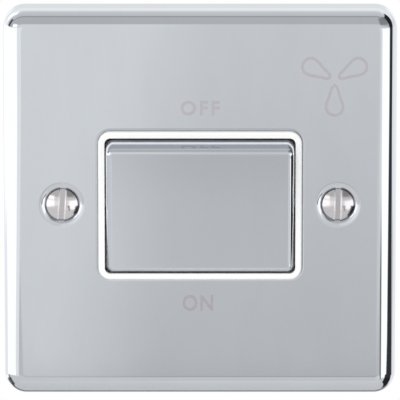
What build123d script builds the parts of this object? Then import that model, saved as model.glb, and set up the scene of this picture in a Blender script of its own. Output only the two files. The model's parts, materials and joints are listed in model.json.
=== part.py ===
"""A three-pole fan isolator switch on a square pressed metal plate, in millimetres.

The plate stands upright. X runs to the right, Z up, and Y into the wall, so the front looks along -Y.
The origin is the middle of the plate's rear rim, which is the face that lies against the wall.
From the front to the back the pieces are a pressed plate with a rolled edge, a moulded insert whose rim
shows round the rocker, the rocker with its metal cap, three sprung plungers, three see-saw contact arms,
and a moulded base that holds two rows of brass terminals.
Everything that swings is drawn level first and then turned to its ON position, with the rocker's foot in.
"""

import os
from math import atan2, cos, degrees, radians, sin, sqrt, tan

from build123d import *

# Pressed plate
PLATE_SIZE = 86.0
PLATE_RISE = 9.5
SHEET = 1.0
EDGE_ROLL = 4.3
FACE_CORNER = 0.5
CUTOUT_GAP = 0.05
CUTOUT_EDGE = 0.3
DIMPLE_RADIUS = 4.0
DIMPLE_LIP = 2.4
FIXING_HOLE_RADIUS = 2.1

# Fixing screws, raised countersunk with a plain slot
FIXING_SPACING = 60.3
FIXING_RADIUS = 1.75
FIXING_NECK_RADIUS = 1.55
FIXING_NECK_REACH = 0.8
FIXING_LENGTH = 25.0
FIXING_HEAD_RADIUS = 3.5
FIXING_RIM = 0.4
FIXING_DOME = 1.1
FIXING_SLOT_WIDTH = 1.1
FIXING_SLOT_DEPTH = 1.5
SCREW_TIP_CHAMFER = 0.5
SEAT_CLEARANCE = 0.05
LEFT_SLOT_LEAN = 3.7
RIGHT_SLOT_LEAN = 0.9

# Rocker, drawn about its pivot
ROCKER_WIDTH = 41.0
ROCKER_END_RADIUS = 15.2
ROCKER_RISE = 6.0
ROCKER_TILT = 8.0
ROCKER_CORNER = 1.5
ROCKER_EDGE = 1.3
CAP_WALL = 0.9
CAP_FIT = 0.05
CAP_REAR = 1.4
DECK = 1.8
ROCKER_WALL = 1.5
ROCKER_WALL_REAR = 1.0
PIVOT_RADIUS = 1.25
PIVOT_RUNNING = 0.05
PIVOT_EAR_RADIUS = 2.4
PIVOT_DEPTH = 4.3

# Moulded insert, whose rim shows round the rocker
TRIM_PROUD = 1.5
TRIM_BAND = 1.4
TRIM_CORNER = 2.7
TRIM_EDGE = 0.45
ROCKER_SIDE_GAP = 0.35
ROCKER_END_GAP = 0.4
LIP_OVERHANG = 0.5
LIP_DEPTH = 0.8
SKIRT_REACH = 2.7
FLANGE_THICKNESS = 1.6
FLANGE_CORNER = 2.0
FLANGE_END_MARGIN = 3.5
FLANGE_SIDE_MARGIN = 0.5
DIMPLE_CLEARANCE = 0.4

# Welded studs and the nuts that clamp the insert to the plate
STUD_RADIUS = 1.25
STUD_FROM_SIDE = 6.4
STUD_CLEARANCE = 0.2
STUD_WELD = 0.4
STUD_PROUD = 0.4
NUT_FLATS = 5.0
NUT_HEIGHT = 1.6
NUT_FIT = 0.05
NUT_BASE_GAP = 0.6

# Poles, plungers and springs
POLES = 3
POLE_PITCH = 13.6
TUBE_WALL = 0.9
TUBE_REACH = 5.5
PLUNGER_RADIUS = 1.6
PLUNGER_RUNNING = 0.1
PLUNGER_TOP = 0.6
PLUNGER_SHOULDER = 8.2
PLUNGER_NOSE = 9.0
PLUNGER_TIP_RADIUS = 1.2
PLUNGER_TIP_CENTRE = 10.0
PLUNGER_BORE_GAP = 0.15
PLUNGER_BORE_DEPTH = 6.0
SPRING_WIRE = 0.36
SPRING_MEAN_RADIUS = 0.82
SPRING_TURNS = 7
SPRING_SIDES = 10
SPRING_END_GAP = 0.03
SPIGOT_RADIUS = 0.5
SPIGOT_LENGTH = 1.6

# See-saw contact arms
ARM_THICKNESS = 0.8
ARM_END = 1.9
ARM_WIDTH = 5.0
ARM_TILT = 10.0
ARM_RUNNING = 0.1
ARM_EAR_THICKNESS = 0.8
ARM_EAR_SIDE_GAP = 0.15
ARM_EAR_DEPTH = 1.8
ARM_EAR_HALF_HEIGHT = 1.7
NOSE_RADIUS = 0.6
CRADLE_WIDTH = 5.0
PLUNGER_ARM_GAP = 0.05
MOVING_TIP_REACH = 8.3
MOVING_TIP_RADIUS = 1.5
MOVING_TIP_DISC = 0.5
MOVING_TIP_DOME = 0.4
TIP_SHANK_RADIUS = 0.75
TIP_TAIL_RADIUS = 1.1
TIP_TAIL_HEIGHT = 0.3
TIP_FIT = 0.03
FIXED_TIP_RADIUS = 1.7
FIXED_TIP_HEIGHT = 0.6
CONTACT_GAP = 0.1

# Terminals
STRIP_THICKNESS = 1.0
STRIP_WIDTH = 5.0
STOP_RADIUS = 1.0
STOP_REACH = 8.0
TERMINAL_WIDTH = 8.0
TERMINAL_HEIGHT = 7.6
TERMINAL_DEPTH = 10.0
TERMINAL_CHAMFER = 0.5
WIRE_RADIUS = 2.0
WIRE_DEPTH = 6.6
WIRE_BACK = 6.5
TERMINAL_SCREW_RADIUS = 1.7
TERMINAL_SCREW_FIT = 0.05
TERMINAL_SCREW_BACKED_OUT = 0.6
TERMINAL_HEAD_RADIUS = 2.7
TERMINAL_HEAD_HEIGHT = 1.8
TERMINAL_SLOT_WIDTH = 0.9
TERMINAL_SLOT_DEPTH = 0.9

# Moulded base
BASE_FLOOR = 5.4
BASE_SIDE_WALL = 0.9
BASE_CORNER = 2.0
BASE_REAR_EDGE = 0.8
BASE_WALL = 1.5
BACK_WALL = 3.2
POCKET_GAP = 0.2
BAY_WIDTH = 10.0
BAY_HEIGHT = 25.0
CHAMBER_GAP = 0.2
ENTRY_GAP = 0.5
ENTRY_FLARE = 0.8
ACCESS_GAP = 0.3
BACK_POCKET_DEPTH = 2.6
BACK_POCKET_HEIGHT = 20.0
BACK_POCKET_WIDTH = 9.0
BACK_POCKET_CORNER = 1.5

# Screws that hold the base to the insert
BOSS_CHAMBER_WALL = 1.3
BOSS_POCKET_WALL = 0.7
BOSS_RADIUS = 2.3
BOSS_REACH = 7.4
BOSS_GAP = 0.2
BASE_SCREW_RADIUS = 1.1
BASE_SCREW_HOLE_GAP = 0.1
BASE_SCREW_LENGTH = 11.0
BASE_SCREW_TIP_ROOM = 0.5
BASE_SCREW_RECESS = 10.0
BASE_SCREW_HEAD_RADIUS = 2.1
BASE_SCREW_HEAD_HEIGHT = 1.5
BASE_SCREW_HEAD_GAP = 0.3
BASE_SCREW_CROSS_WIDTH = 0.6
BASE_SCREW_CROSS_LENGTH = 2.4
BASE_SCREW_CROSS_DEPTH = 0.9

# Earth terminal on a bracket welded to the plate
EARTH_FROM_EDGE = 8.5
EARTH_FROM_FLANGE = 1.6
EARTH_BRACKET_WIDTH = 8.0
EARTH_BRACKET_SHEET = 1.0
EARTH_FOOT = 3.4
EARTH_SHELF = 7.4
EARTH_WIRE_OVER_RIM = 0.7
EARTH_BLOCK_WIDTH = 8.0
EARTH_BLOCK_HEIGHT = 7.0
EARTH_BLOCK_DEPTH = 8.0
EARTH_WIRE_RADIUS = 1.9
EARTH_WIRE_BACK = 3.0
EARTH_SPIGOT_RADIUS = 1.5
EARTH_SPIGOT_HEAD_RADIUS = 2.1
EARTH_SPIGOT_HEAD = 0.5

# Levels along Y, from the front to the cradle
FACE_Y = -PLATE_RISE
INNER_Y = FACE_Y + SHEET
FLANGE_Y = INNER_Y + FLANGE_THICKNESS
TRIM_Y = FACE_Y - TRIM_PROUD
PIVOT_Y = TRIM_Y + PIVOT_DEPTH
SKIRT_Y = PIVOT_Y + SKIRT_REACH
POCKET_Y = SKIRT_Y + POCKET_GAP
HUMP_RADIUS = NOSE_RADIUS + ARM_RUNNING + ARM_THICKNESS
CRADLE_Y = PIVOT_Y + PLUNGER_TIP_CENTRE + PLUNGER_TIP_RADIUS + PLUNGER_ARM_GAP + HUMP_RADIUS

# The moving tip's dome is part of a ball. Where the ball lies when the arm is down sets the fixed tip.
DOME_BALL = (MOVING_TIP_RADIUS**2 + MOVING_TIP_DOME**2) / (2 * MOVING_TIP_DOME)
DOME_BACK = MOVING_TIP_DISC + MOVING_TIP_DOME - DOME_BALL
DOME_Z = MOVING_TIP_REACH * cos(radians(ARM_TILT)) - DOME_BACK * sin(radians(ARM_TILT))
DOME_Y = CRADLE_Y + MOVING_TIP_REACH * sin(radians(ARM_TILT)) + DOME_BACK * cos(radians(ARM_TILT))
FIXED_TIP_Y = DOME_Y + DOME_BALL + CONTACT_GAP
STRIP_Y = FIXED_TIP_Y + FIXED_TIP_HEIGHT
BAY_FLOOR_Y = STRIP_Y + STRIP_THICKNESS

# Levels from the bays' floor to the back of the base
BASE_REAR = BAY_FLOOR_Y + BASE_FLOOR
CHAMBER_Y = BASE_REAR - BACK_WALL
WIRE_Y = CHAMBER_Y - WIRE_BACK
BASE_SCREW_SEAT = BASE_REAR - BASE_SCREW_RECESS

# Places and sizes across the plate
CORNER_RADIUS = EDGE_ROLL + FACE_CORNER
WELL_WIDTH = ROCKER_WIDTH + 2 * ROCKER_SIDE_GAP
WELL_HEIGHT = 2 * (ROCKER_END_RADIUS + ROCKER_END_GAP)
TRIM_WIDTH = WELL_WIDTH + 2 * TRIM_BAND
TRIM_HEIGHT = WELL_HEIGHT - 2 * LIP_OVERHANG + 2 * TRIM_BAND
FIXING_X = FIXING_SPACING / 2
POLE_X = [POLE_PITCH * (pole - (POLES - 1) / 2) for pole in range(POLES)]
BAY_END = BAY_HEIGHT / 2
CHAMBER_START = BAY_END + BASE_WALL
TERMINAL_START = CHAMBER_START + CHAMBER_GAP
TERMINAL_END = TERMINAL_START + TERMINAL_HEIGHT
TERMINAL_Z = (TERMINAL_START + TERMINAL_END) / 2
BOSS_HOLE = BOSS_RADIUS + BOSS_GAP
BOSS_X = POLE_X[-1] + TERMINAL_WIDTH / 2 + CHAMBER_GAP + BOSS_CHAMBER_WALL + BOSS_HOLE
BOSS_Z = TRIM_HEIGHT / 2 + POCKET_GAP + BOSS_POCKET_WALL + BOSS_HOLE
BASE_WIDTH = 2 * (BOSS_X + BOSS_HOLE + BASE_SIDE_WALL)
BASE_HEIGHT = 2 * (TERMINAL_END + CHAMBER_GAP + BASE_WALL)
FLANGE_WIDTH = 2 * (BOSS_X + BOSS_RADIUS + FLANGE_SIDE_MARGIN)
STUD_X = FLANGE_WIDTH / 2 - STUD_FROM_SIDE
STUD_Z = BASE_HEIGHT / 2 + NUT_BASE_GAP + NUT_FLATS / sqrt(3)
FLANGE_HEIGHT = 2 * (STUD_Z + FLANGE_END_MARGIN)
EARTH_X = FLANGE_WIDTH / 2 + EARTH_FROM_FLANGE + EARTH_BRACKET_WIDTH / 2
EARTH_Z = EARTH_FROM_EDGE - PLATE_SIZE / 2
EARTH_SHELF_REAR = EARTH_WIRE_OVER_RIM + EARTH_WIRE_RADIUS - EARTH_WIRE_BACK

# Round pieces that run inside one another
PLUNGER_BORE_RADIUS = SPRING_MEAN_RADIUS + SPRING_WIRE / 2 + PLUNGER_BORE_GAP
TUBE_RADIUS = PLUNGER_RADIUS + PLUNGER_RUNNING + TUBE_WALL
ARM_REACH = MOVING_TIP_REACH + ARM_END
ENTRY_RADIUS = WIRE_RADIUS + ENTRY_GAP
ACCESS_RADIUS = TERMINAL_HEAD_RADIUS + ACCESS_GAP


def block(x, y, z):
    """A plain block from a (low, high) pair along each axis."""
    spans = (x, y, z)
    middle = [(low + high) / 2 for low, high in spans]
    return Pos(*middle) * Box(*[high - low for low, high in spans])


def slab(width, height, corner, front, rear, x=0.0, z=0.0):
    """A prism along Y with a round-cornered rectangular outline."""
    plane = Plane(origin=(x, rear, z), x_dir=(1, 0, 0), z_dir=(0, -1, 0))
    return extrude(plane * RectangleRounded(width, height, corner), amount=rear - front)


def rod(radius, start, end):
    """A round bar from one point to another."""
    along = Vector(*end) - Vector(*start)
    plane = Plane(origin=start, z_dir=along)
    return extrude(plane * Circle(radius), amount=along.length)


def peg(radius, front, rear, x=0.0, z=0.0):
    """A round bar along Y."""
    return rod(radius, (x, front, z), (x, rear, z))


def turned(outline, x=0.0, z=0.0):
    """A solid of revolution about a line along Y, from an outline of radius and Y."""
    return Pos(x, 0, z) * revolve(Plane.XY * make_face(outline), axis=Axis.Y)


def turned_points(points, x=0.0, z=0.0):
    """The same, from a straight-sided outline."""
    return turned(Polyline(*points, close=True), x, z)


def front_edges(shape):
    """The edges round the foremost face."""
    return shape.faces().sort_by(Axis.Y)[0].edges()


def swing(shape, pivot_y, angle):
    """Turns a shape about a line along X. A positive angle brings the top forwards."""
    return shape.rotate(Axis((0, pivot_y, 0), (1, 0, 0)), angle)


def corners(x, z):
    """The four corners of a rectangle about the middle, as X and Z."""
    return [(i * x, k * z) for i in (-1, 1) for k in (-1, 1)]


def pressed_shell(inset):
    """The plate's outside as a solid block, shrunk by inset, with its rolled front edge."""
    roll = EDGE_ROLL - inset
    size = PLATE_SIZE - 2 * inset
    body = slab(size, size, CORNER_RADIUS - inset, FACE_Y + inset, 0)
    return fillet(front_edges(body), roll)


def dimple_back(x, clearance=0):
    """The back of the dimple that takes a fixing screw's head, or the room that it needs."""
    wall = SHEET * sqrt(2)
    rear = FACE_Y + DIMPLE_RADIUS + wall - FIXING_HOLE_RADIUS - SHEET + clearance
    start = FACE_Y + SHEET / 2
    return turned_points(
        [
            (0, start),
            (DIMPLE_RADIUS + wall - SHEET / 2 + clearance, start),
            (FIXING_HOLE_RADIUS + SHEET + clearance, rear),
            (0, rear),
        ],
        x,
    )


def dimple_front(x):
    """What is cut away for the head: a right-angled cone with a soft lip, and the screw's hole."""
    hole_y = FACE_Y + DIMPLE_RADIUS - FIXING_HOLE_RADIUS
    lip = DIMPLE_LIP * tan(radians(22.5))
    lip_x = DIMPLE_RADIUS + lip
    cone_x = DIMPLE_RADIUS - lip * cos(radians(45))
    cone_y = FACE_Y + lip * sin(radians(45))
    middle_x = lip_x - DIMPLE_LIP * cos(radians(67.5))
    middle_y = FACE_Y + DIMPLE_LIP - DIMPLE_LIP * sin(radians(67.5))
    front = Polyline((0, hole_y + 2 * SHEET), (0, FACE_Y - SHEET), (lip_x, FACE_Y - SHEET), (lip_x, FACE_Y))
    rounded = ThreePointArc((lip_x, FACE_Y), (middle_x, middle_y), (cone_x, cone_y))
    hole = Polyline(
        (cone_x, cone_y),
        (FIXING_HOLE_RADIUS, hole_y),
        (FIXING_HOLE_RADIUS, hole_y + 2 * SHEET),
        (0, hole_y + 2 * SHEET),
    )
    return turned(front + rounded + hole, x)


def front_plate():
    """One pressed sheet with a rolled edge, a window, two dimples and four welded studs."""
    plate = pressed_shell(0) - pressed_shell(SHEET)
    window_width = TRIM_WIDTH + 2 * CUTOUT_GAP
    window_height = TRIM_HEIGHT + 2 * CUTOUT_GAP
    window_corner = TRIM_CORNER + CUTOUT_GAP
    plate -= slab(window_width, window_height, window_corner, FACE_Y - SHEET, INNER_Y + SHEET)
    window_edge = [
        e
        for e in plate.edges().filter_by_position(Axis.Y, FACE_Y - 0.01, FACE_Y + 0.01)
        if abs(e.center().X) < window_width / 2 + 0.01 and abs(e.center().Z) < window_height / 2 + 0.01
    ]
    plate = fillet(window_edge, min(CUTOUT_EDGE, 0.8 * SHEET))
    for x in (-FIXING_X, FIXING_X):
        plate += dimple_back(x)
        plate -= dimple_front(x)
    for x, z in corners(STUD_X, STUD_Z):
        stud_end = FLANGE_Y + NUT_HEIGHT + STUD_PROUD
        plate += peg(STUD_RADIUS, INNER_Y - STUD_WELD, stud_end, x, z)
    return plate


def insert_frame():
    """The moulded insert: a rim through the plate's window, a well for the rocker, and a flange behind."""
    frame = slab(TRIM_WIDTH, TRIM_HEIGHT, TRIM_CORNER, TRIM_Y, SKIRT_Y)
    frame = fillet(front_edges(frame), TRIM_EDGE)
    frame += slab(FLANGE_WIDTH, FLANGE_HEIGHT, FLANGE_CORNER, INNER_Y, FLANGE_Y)
    for x, z in corners(BOSS_X, BOSS_Z):
        frame += peg(BOSS_RADIUS, INNER_Y, FLANGE_Y + BOSS_REACH, x, z)
    mouth_height = WELL_HEIGHT - 2 * LIP_OVERHANG
    mouth_corner = TRIM_CORNER - TRIM_BAND
    frame -= slab(WELL_WIDTH, mouth_height, mouth_corner, TRIM_Y - 1, SKIRT_Y + 1)
    frame -= slab(WELL_WIDTH, WELL_HEIGHT, mouth_corner, TRIM_Y + LIP_DEPTH, SKIRT_Y + 1)
    side = TRIM_WIDTH
    frame -= rod(PIVOT_RADIUS + PIVOT_RUNNING, (-side, PIVOT_Y, 0), (side, PIVOT_Y, 0))
    for x, z in corners(STUD_X, STUD_Z):
        frame -= peg(STUD_RADIUS + STUD_CLEARANCE, INNER_Y - 1, FLANGE_Y + 1, x, z)
    hole = BASE_SCREW_RADIUS + BASE_SCREW_HOLE_GAP
    hole_y = BASE_SCREW_SEAT - BASE_SCREW_LENGTH - BASE_SCREW_TIP_ROOM
    for x, z in corners(BOSS_X, BOSS_Z):
        frame -= peg(hole, hole_y, FLANGE_Y + BOSS_REACH + 1, x, z)
    for x in (-FIXING_X, FIXING_X):
        frame -= dimple_back(x, DIMPLE_CLEARANCE)
    return frame


def clamp_nuts():
    """Four hexagon nuts on the plate's studs."""
    nuts = []
    for x, z in corners(STUD_X, STUD_Z):
        plane = Plane(origin=(x, FLANGE_Y + NUT_HEIGHT, z), x_dir=(1, 0, 0), z_dir=(0, -1, 0))
        outline = RegularPolygon(NUT_FLATS / 2, 6, major_radius=False) - Circle(STUD_RADIUS + NUT_FIT)
        nuts.append(extrude(plane * outline, amount=NUT_HEIGHT))
    return Compound(children=nuts)


def fixing_screw(x, lean):
    """A raised countersunk screw, its slot leaning from upright by an angle."""
    cone_y = FACE_Y + DIMPLE_RADIUS - FIXING_HEAD_RADIUS - SEAT_CLEARANCE * sqrt(2)
    rim_y = cone_y - FIXING_RIM
    neck_y = cone_y + FIXING_HEAD_RADIUS - FIXING_NECK_RADIUS
    dimple_rear = FACE_Y + DIMPLE_RADIUS + SHEET * sqrt(2) - FIXING_HOLE_RADIUS - SHEET
    thread_y = dimple_rear + FIXING_NECK_REACH
    tip_y = rim_y + FIXING_LENGTH
    outline = (
        ThreePointArc(
            (0, rim_y - FIXING_DOME),
            (FIXING_HEAD_RADIUS / 2, rim_y - dome_height(FIXING_HEAD_RADIUS, FIXING_DOME)),
            (FIXING_HEAD_RADIUS, rim_y),
        )
        + Polyline(
            (FIXING_HEAD_RADIUS, rim_y),
            (FIXING_HEAD_RADIUS, cone_y),
            (FIXING_NECK_RADIUS, neck_y),
            (FIXING_NECK_RADIUS, thread_y),
            (FIXING_RADIUS, thread_y),
            (FIXING_RADIUS, tip_y - SCREW_TIP_CHAMFER),
            (FIXING_RADIUS - SCREW_TIP_CHAMFER, tip_y),
            (0, tip_y),
            (0, rim_y - FIXING_DOME),
        )
    )
    screw = turned(outline)
    slot_floor = rim_y - FIXING_DOME + FIXING_SLOT_DEPTH
    half_slot = FIXING_SLOT_WIDTH / 2
    reach = FIXING_HEAD_RADIUS + 1
    slot = block((-half_slot, half_slot), (rim_y - 2, slot_floor), (-reach, reach))
    screw -= slot.rotate(Axis.Y, lean)
    return Pos(x, 0, 0) * screw


def dome_height(rim_radius, height):
    """How high a dome stands half-way out from its middle."""
    ball = (rim_radius**2 + height**2) / (2 * height)
    return sqrt(ball**2 - (rim_radius / 2) ** 2) - (ball - height)


def fixing_screws():
    """The two screws that go into the wall box."""
    left = fixing_screw(-FIXING_X, LEFT_SLOT_LEAN)
    right = fixing_screw(FIXING_X, RIGHT_SLOT_LEAN)
    return Compound(children=[left, right])


def rocker_form(inset, rear):
    """The rocker's outline, level, shrunk by inset: a flat front and two ends curved about the pivot."""
    radius = ROCKER_END_RADIUS - inset
    front = ROCKER_RISE - inset
    half_front = sqrt(radius**2 - front**2)
    half_rear = sqrt(radius**2 - rear**2)
    start = degrees(atan2(half_rear, -rear))
    sweep = degrees(atan2(half_front, -front)) - start
    outline = (
        CenterArc((0, 0), radius, start, sweep)
        + Line((-front, half_front), (-front, -half_front))
        + CenterArc((0, 0), radius, -start - sweep, sweep)
        + Line((-rear, -half_rear), (-rear, half_rear))
    )
    half_width = ROCKER_WIDTH / 2 - inset
    form = extrude(Plane.YZ * make_face(outline), amount=half_width, both=True)
    ends = [
        e
        for e in form.edges().filter_by(GeomType.CIRCLE)
        if abs(abs(e.center().X) - half_width) < 0.01
    ]
    corner = max(ROCKER_CORNER - inset, 0.3)
    edge = max(ROCKER_EDGE - inset, 0.2)
    form = fillet(ends, corner)
    form = fillet(front_edges(form), min(edge, 0.9 * corner))
    return Pos(0, PIVOT_Y, 0) * form


def rocker_cap():
    """The plated cap that covers the rocker."""
    cap = rocker_form(0, CAP_REAR)
    cap -= rocker_form(CAP_WALL, CAP_REAR - 1)
    return swing(cap, PIVOT_Y, ROCKER_TILT)


def rocker_body():
    """The moulded rocker inside the cap: a deck, walls, pivot cheeks and a tube for each plunger."""
    inset = CAP_WALL + CAP_FIT
    deck_rear = -ROCKER_RISE + inset + DECK
    body = rocker_form(inset, ROCKER_WALL_REAR)
    hollow_end = sqrt((ROCKER_END_RADIUS - inset) ** 2 - (ROCKER_RISE - inset) ** 2) - ROCKER_WALL
    cheek = ROCKER_WIDTH / 2 - inset
    inner = cheek - ROCKER_WALL
    hollow_y = (PIVOT_Y + deck_rear, PIVOT_Y + 1)
    body -= block((-inner, inner), hollow_y, (-hollow_end, hollow_end))
    for side in (-1, 1):
        span = sorted((side * inner, side * cheek))
        ear = rod(PIVOT_EAR_RADIUS, (span[0], PIVOT_Y, 0), (span[1], PIVOT_Y, 0))
        web = block(span, (PIVOT_Y - 2 * PIVOT_EAR_RADIUS, PIVOT_Y), (-PIVOT_EAR_RADIUS, PIVOT_EAR_RADIUS))
        web = web & rocker_form(inset, 0)
        stub_end = side * (ROCKER_WIDTH / 2 + ROCKER_SIDE_GAP + TRIM_BAND - CAP_FIT)
        body += ear + web + rod(PIVOT_RADIUS, (side * inner, PIVOT_Y, 0), (stub_end, PIVOT_Y, 0))
    deck_y = PIVOT_Y + deck_rear
    for x in POLE_X:
        body += peg(TUBE_RADIUS, deck_y - DECK / 2, PIVOT_Y + TUBE_REACH, x)
    for x in POLE_X:
        body -= peg(PLUNGER_RADIUS + PLUNGER_RUNNING, deck_y, PIVOT_Y + TUBE_REACH + 1, x)
        body += peg(SPIGOT_RADIUS, deck_y - DECK / 2, deck_y + SPIGOT_LENGTH, x)
    return swing(body, PIVOT_Y, ROCKER_TILT)


def plunger(x):
    """A round-nosed pin, bored at the front for its spring."""
    bore_end = PLUNGER_TOP + PLUNGER_BORE_DEPTH
    arc_mid = PLUNGER_TIP_RADIUS * sin(radians(45))
    sides = Polyline(
        (0, bore_end),
        (PLUNGER_BORE_RADIUS, bore_end),
        (PLUNGER_BORE_RADIUS, PLUNGER_TOP),
        (PLUNGER_RADIUS, PLUNGER_TOP),
        (PLUNGER_RADIUS, PLUNGER_SHOULDER),
        (PLUNGER_TIP_RADIUS, PLUNGER_NOSE),
        (PLUNGER_TIP_RADIUS, PLUNGER_TIP_CENTRE),
    )
    nose = ThreePointArc(
        (PLUNGER_TIP_RADIUS, PLUNGER_TIP_CENTRE),
        (arc_mid, PLUNGER_TIP_CENTRE + arc_mid),
        (0, PLUNGER_TIP_CENTRE + PLUNGER_TIP_RADIUS),
    )
    back = Line((0, PLUNGER_TIP_CENTRE + PLUNGER_TIP_RADIUS), (0, bore_end))
    pin = Pos(x, PIVOT_Y, 0) * turned(sides + nose + back)
    return swing(pin, PIVOT_Y, ROCKER_TILT)


def plunger_spring(x):
    """A coil spring between the rocker's deck and the floor of the plunger's bore."""
    half_wire = SPRING_WIRE / 2
    start = -ROCKER_RISE + CAP_WALL + CAP_FIT + DECK + half_wire + SPRING_END_GAP
    end = PLUNGER_TOP + PLUNGER_BORE_DEPTH - half_wire - SPRING_END_GAP
    steps = SPRING_TURNS * SPRING_SIDES
    turn = radians(360 / SPRING_SIDES)
    points = [
        (
            SPRING_MEAN_RADIUS * cos(step * turn),
            start + (end - start) * step / steps,
            SPRING_MEAN_RADIUS * sin(step * turn),
        )
        for step in range(steps + 1)
    ]
    path = Polyline(*points)
    section = Plane(origin=path @ 0, z_dir=path % 0) * Rectangle(SPRING_WIRE, SPRING_WIRE)
    coil = sweep(section, path=path, transition=Transition.RIGHT)
    return swing(Pos(x, PIVOT_Y, 0) * coil, PIVOT_Y, ROCKER_TILT)


def contact_arm(x):
    """A see-saw arm with a pressed saddle over the cradle's nose and two ears that straddle it."""
    front = CRADLE_Y - ARM_THICKNESS
    saddle_half = CRADLE_WIDTH / 2 + ARM_EAR_SIDE_GAP + ARM_EAR_THICKNESS
    half = ARM_WIDTH / 2
    arm = block((x - half, x + half), (front, CRADLE_Y), (-ARM_REACH, ARM_REACH))
    arm += block(
        (x - saddle_half, x + saddle_half),
        (front, CRADLE_Y),
        (-ARM_EAR_HALF_HEIGHT, ARM_EAR_HALF_HEIGHT),
    )
    arm += rod(HUMP_RADIUS, (x - saddle_half, CRADLE_Y, 0), (x + saddle_half, CRADLE_Y, 0))
    below = (CRADLE_Y, CRADLE_Y + 2 * HUMP_RADIUS)
    arm -= block((x - saddle_half - 1, x + saddle_half + 1), below, (-ARM_REACH, ARM_REACH))
    for side in (-1, 1):
        span = sorted((x + side * (saddle_half - ARM_EAR_THICKNESS), x + side * saddle_half))
        arm += block(
            span,
            (front, CRADLE_Y + ARM_EAR_DEPTH),
            (-ARM_EAR_HALF_HEIGHT, ARM_EAR_HALF_HEIGHT),
        )
    groove_half = saddle_half - ARM_EAR_THICKNESS
    groove_radius = NOSE_RADIUS + ARM_RUNNING
    arm -= rod(groove_radius, (x - groove_half, CRADLE_Y, 0), (x + groove_half, CRADLE_Y, 0))
    tip_hole = TIP_SHANK_RADIUS + TIP_FIT
    arm -= peg(tip_hole, front - 1, CRADLE_Y + 1, x, MOVING_TIP_REACH)
    return swing(arm, CRADLE_Y, -ARM_TILT)


def moving_tip(x):
    """A domed silver rivet through the end of a contact arm."""
    front = CRADLE_Y - ARM_THICKNESS
    disc_y = CRADLE_Y + MOVING_TIP_DISC
    sides = Polyline(
        (0, front - TIP_TAIL_HEIGHT),
        (TIP_TAIL_RADIUS, front - TIP_TAIL_HEIGHT),
        (TIP_TAIL_RADIUS, front),
        (TIP_SHANK_RADIUS, front),
        (TIP_SHANK_RADIUS, CRADLE_Y),
        (MOVING_TIP_RADIUS, CRADLE_Y),
        (MOVING_TIP_RADIUS, disc_y),
    )
    dome = ThreePointArc(
        (MOVING_TIP_RADIUS, disc_y),
        (MOVING_TIP_RADIUS / 2, disc_y + dome_height(MOVING_TIP_RADIUS, MOVING_TIP_DOME)),
        (0, disc_y + MOVING_TIP_DOME),
    )
    back = Line((0, disc_y + MOVING_TIP_DOME), (0, front - TIP_TAIL_HEIGHT))
    tip = turned(sides + dome + back, x, MOVING_TIP_REACH)
    return swing(tip, CRADLE_Y, -ARM_TILT)


def fixed_tip(x):
    """A flat silver rivet in the load strip, where the moving tip lands."""
    return turned_points(
        [
            (0, FIXED_TIP_Y),
            (FIXED_TIP_RADIUS, FIXED_TIP_Y),
            (FIXED_TIP_RADIUS, STRIP_Y),
            (TIP_SHANK_RADIUS, STRIP_Y),
            (TIP_SHANK_RADIUS, BAY_FLOOR_Y),
            (0, BAY_FLOOR_Y),
        ],
        x,
        DOME_Z,
    )


def terminal_block(x, end):
    """A brass block at the top (end 1) or foot (end -1), bored for a wire and tapped for its screw."""
    half = TERMINAL_WIDTH / 2
    front = CHAMBER_Y - TERMINAL_DEPTH
    span = sorted((end * TERMINAL_START, end * TERMINAL_END))
    body = block((x - half, x + half), (front, CHAMBER_Y), span)
    body = chamfer(body.edges().filter_by(Axis.Y), TERMINAL_CHAMFER)
    mouth = end * TERMINAL_END
    body -= rod(WIRE_RADIUS, (x, WIRE_Y, mouth - end * WIRE_DEPTH), (x, WIRE_Y, mouth + end))
    tapped = TERMINAL_SCREW_RADIUS + TERMINAL_SCREW_FIT
    body -= peg(tapped, WIRE_Y, CHAMBER_Y + 1, x, end * TERMINAL_Z)
    return body


def load_terminal(x):
    """The upper terminal, with the strip that carries the fixed tip."""
    half = STRIP_WIDTH / 2
    strip_end = DOME_Z - FIXED_TIP_RADIUS - 0.4
    strip = block((x - half, x + half), (STRIP_Y, BAY_FLOOR_Y), (strip_end, TERMINAL_START + 0.2))
    strip -= peg(TIP_SHANK_RADIUS + TIP_FIT, STRIP_Y - 1, BAY_FLOOR_Y + 1, x, DOME_Z)
    return terminal_block(x, 1) + strip


def supply_terminal(x):
    """The lower terminal, with the strip that ends in the cradle and carries the arm's stop."""
    half = STRIP_WIDTH / 2
    strip = block(
        (x - half, x + half),
        (STRIP_Y, BAY_FLOOR_Y),
        (-TERMINAL_START - 0.2, NOSE_RADIUS),
    )
    cradle = CRADLE_WIDTH / 2
    strip += block((x - cradle, x + cradle), (CRADLE_Y, BAY_FLOOR_Y), (-NOSE_RADIUS, NOSE_RADIUS))
    strip += rod(NOSE_RADIUS, (x - cradle, CRADLE_Y, 0), (x + cradle, CRADLE_Y, 0))
    stop_y = CRADLE_Y + (STOP_REACH + STOP_RADIUS) * tan(radians(ARM_TILT)) + CONTACT_GAP
    strip += peg(STOP_RADIUS, stop_y, STRIP_Y + STRIP_THICKNESS / 2, x, -STOP_REACH)
    return terminal_block(x, -1) + strip


def terminal_screw(tip_y, seat_y, x, z):
    """A cheese-headed screw along Y, its slotted head at the back."""
    head_y = seat_y + TERMINAL_HEAD_HEIGHT
    screw = peg(TERMINAL_SCREW_RADIUS, tip_y, seat_y, x, z)
    screw += peg(TERMINAL_HEAD_RADIUS, seat_y, head_y, x, z)
    half = TERMINAL_SLOT_WIDTH / 2
    reach = TERMINAL_HEAD_RADIUS + 1
    slot_y = (head_y - TERMINAL_SLOT_DEPTH, head_y + 1)
    return screw - block((x - reach, x + reach), slot_y, (z - half, z + half))


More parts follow.
